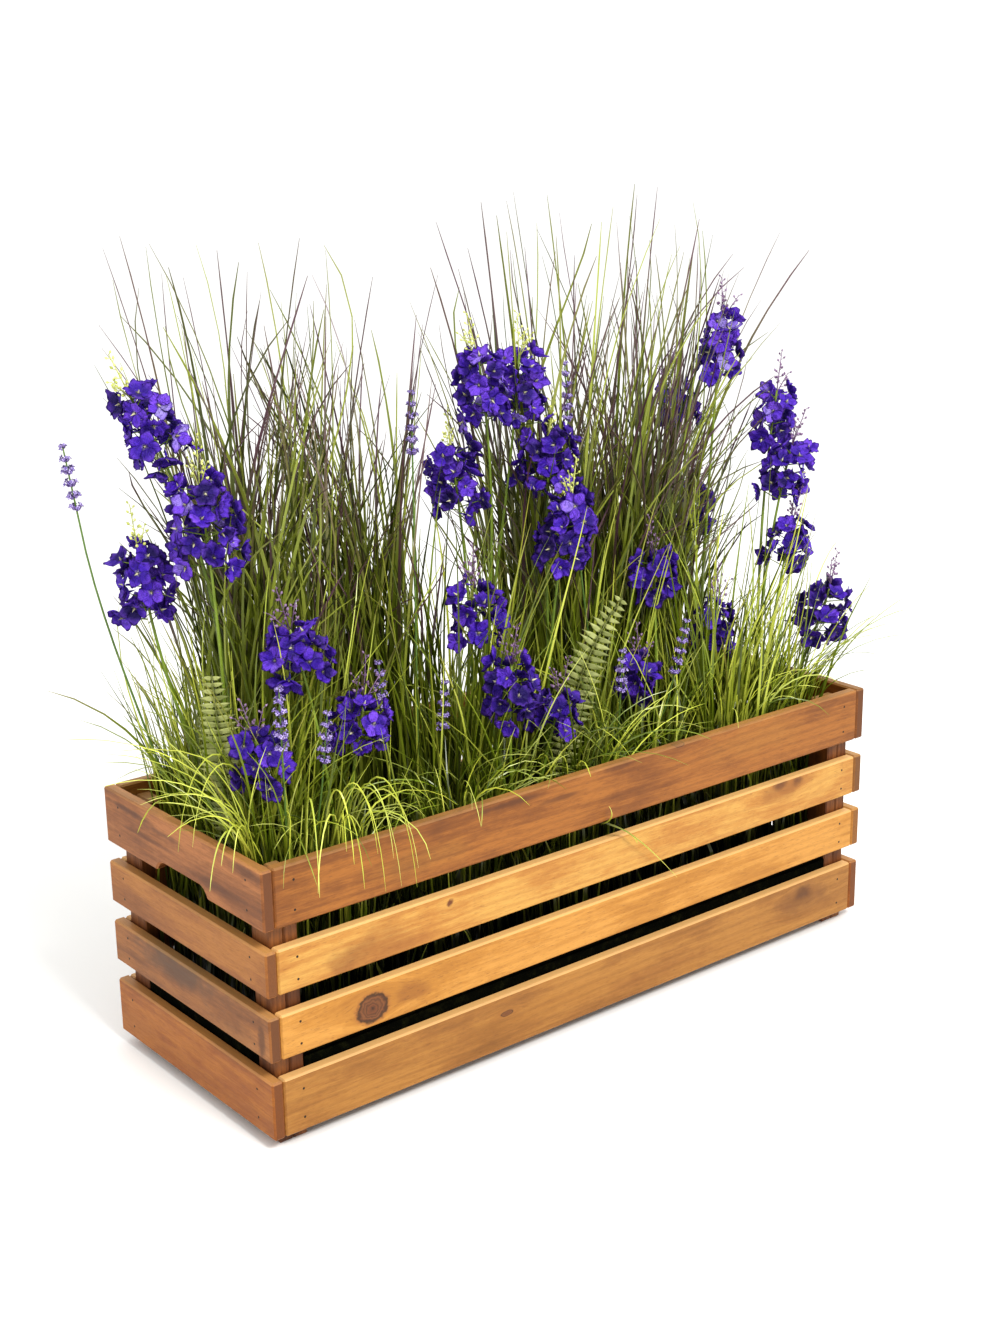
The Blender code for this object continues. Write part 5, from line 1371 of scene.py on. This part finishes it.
def make_moss():
    """Height over the bed in mm = 3.6 + 1.4 * sin(61 x + 23 y) * cos(47 y - 31 x) + sin(143 x - 97 y)
    + random lumps. A skirt joins its rim to a flat underside 4 mm below the bed's top."""
    rng = np.random.default_rng(MOSS_SEED)
    half_x, half_y = BATTENS_X - 0.002, INNER_Y - 0.002
    x, y = np.meshgrid(np.linspace(-half_x, half_x, MOSS_COLUMNS), np.linspace(-half_y, half_y, MOSS_ROWS))
    height = 1.4 * np.sin(61 * x + 23 * y) * np.cos(47 * y - 31 * x) + 1.0 * np.sin(143 * x - 97 * y)
    height += 0.9 * rng.normal(0, 1, x.shape)
    lumps = rng.uniform(-1, 1, (LUMPS, 2)) * (half_x, half_y)
    for (lump_x, lump_y), radius in zip(lumps, rng.uniform(0.010, 0.022, LUMPS)):
        height += 3.2 * np.exp(-((x - lump_x) ** 2 + (y - lump_y) ** 2) / radius**2)
    top = np.stack([x, y, BED_TOP + (3.6 + height) * MM], -1)
    floor = np.stack([x, y, np.full(x.shape, BED_TOP - 4 * MM)], -1)
    grid = np.arange(x.size).reshape(x.shape)
    ring = np.concatenate([grid[0], grid[1:, -1], grid[-1, -2::-1], grid[-2:0:-1, 0]])
    after = np.roll(ring, -1)
    skirt = np.stack([ring + x.size, after + x.size, after, ring], -1)
    quads = grid_quads(grid)
    pieces = Pieces()
    points = np.concatenate([top.reshape(-1, 3), floor.reshape(-1, 3)])
    pieces.add((points, [quads, quads[:, ::-1] + x.size, skirt]), 0, 0.5)
    finish_piece("moss_layer", pieces, [MOSS], [])


MOSS = dry_moss("preserved_moss")
dress("planting_bed", MOSS)
make_moss()

# %% [markdown]
# ## Nails
#
# Each board is fixed with two brads at each end, one above the other. Their heads are set a little
# into the wood and look like dark dots.

# %% Nails
BRAD_RADIUS = 1.25 * MM
FRONT_INSET, END_INSET = 33 * MM, 27 * MM
BRAD_HEIGHTS = (0.24, 0.74)


def blued_steel(name):
    material, tree = new_material(name)
    shader = add(tree, "BsdfPrincipled", {"Base Color": "#2A1D14", "Roughness": 0.55, "Metallic": 0.3})
    add(tree, "OutputMaterial", {"Surface": shader})
    return material


def make_brads():
    """A head is a short closed tube that stands 0.12 mm proud of its board's face."""
    centres, outs = [], []
    for course in COURSES:
        low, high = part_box(f"board_front_{course}")
        for share in BRAD_HEIGHTS:
            z = low.z + share * (high.z - low.z)
            for sign in (-1, 1):
                for x in (-OUTER_X + FRONT_INSET, OUTER_X - FRONT_INSET):
                    centres.append((x, sign * OUTER_Y, z))
                    outs.append((0, sign, 0))
                for y in (-OUTER_Y + END_INSET, OUTER_Y - END_INSET):
                    centres.append((sign * OUTER_X, y, z))
                    outs.append((sign, 0, 0))
    centres, outs = np.array(centres), np.array(outs, float)
    depth = np.array([-1.5, 0.04, 0.12]) * MM
    paths = centres[:, None, :] + depth[None, :, None] * outs[:, None, :]
    wide = BRAD_RADIUS * np.array([1.0, 1.0, 0.7])[None, :]
    pieces = Pieces()
    pieces.add(tubes(paths, wide, wide, (0.0, 0.0, 1.0), 10), 0, 0.5)
    finish_piece("brad_heads", pieces, [blued_steel("blued_steel_brads")], [])
    return len(centres)


print("brads", make_brads())

# %% [markdown]
# ## Totals
#
# The last cell prints the number of triangles in all the pieces, and the pieces that have more than 20000.

# %% Finish
print("triangles", sum(TRIANGLES.values()), {name: count for name, count in TRIANGLES.items() if count > 20000})
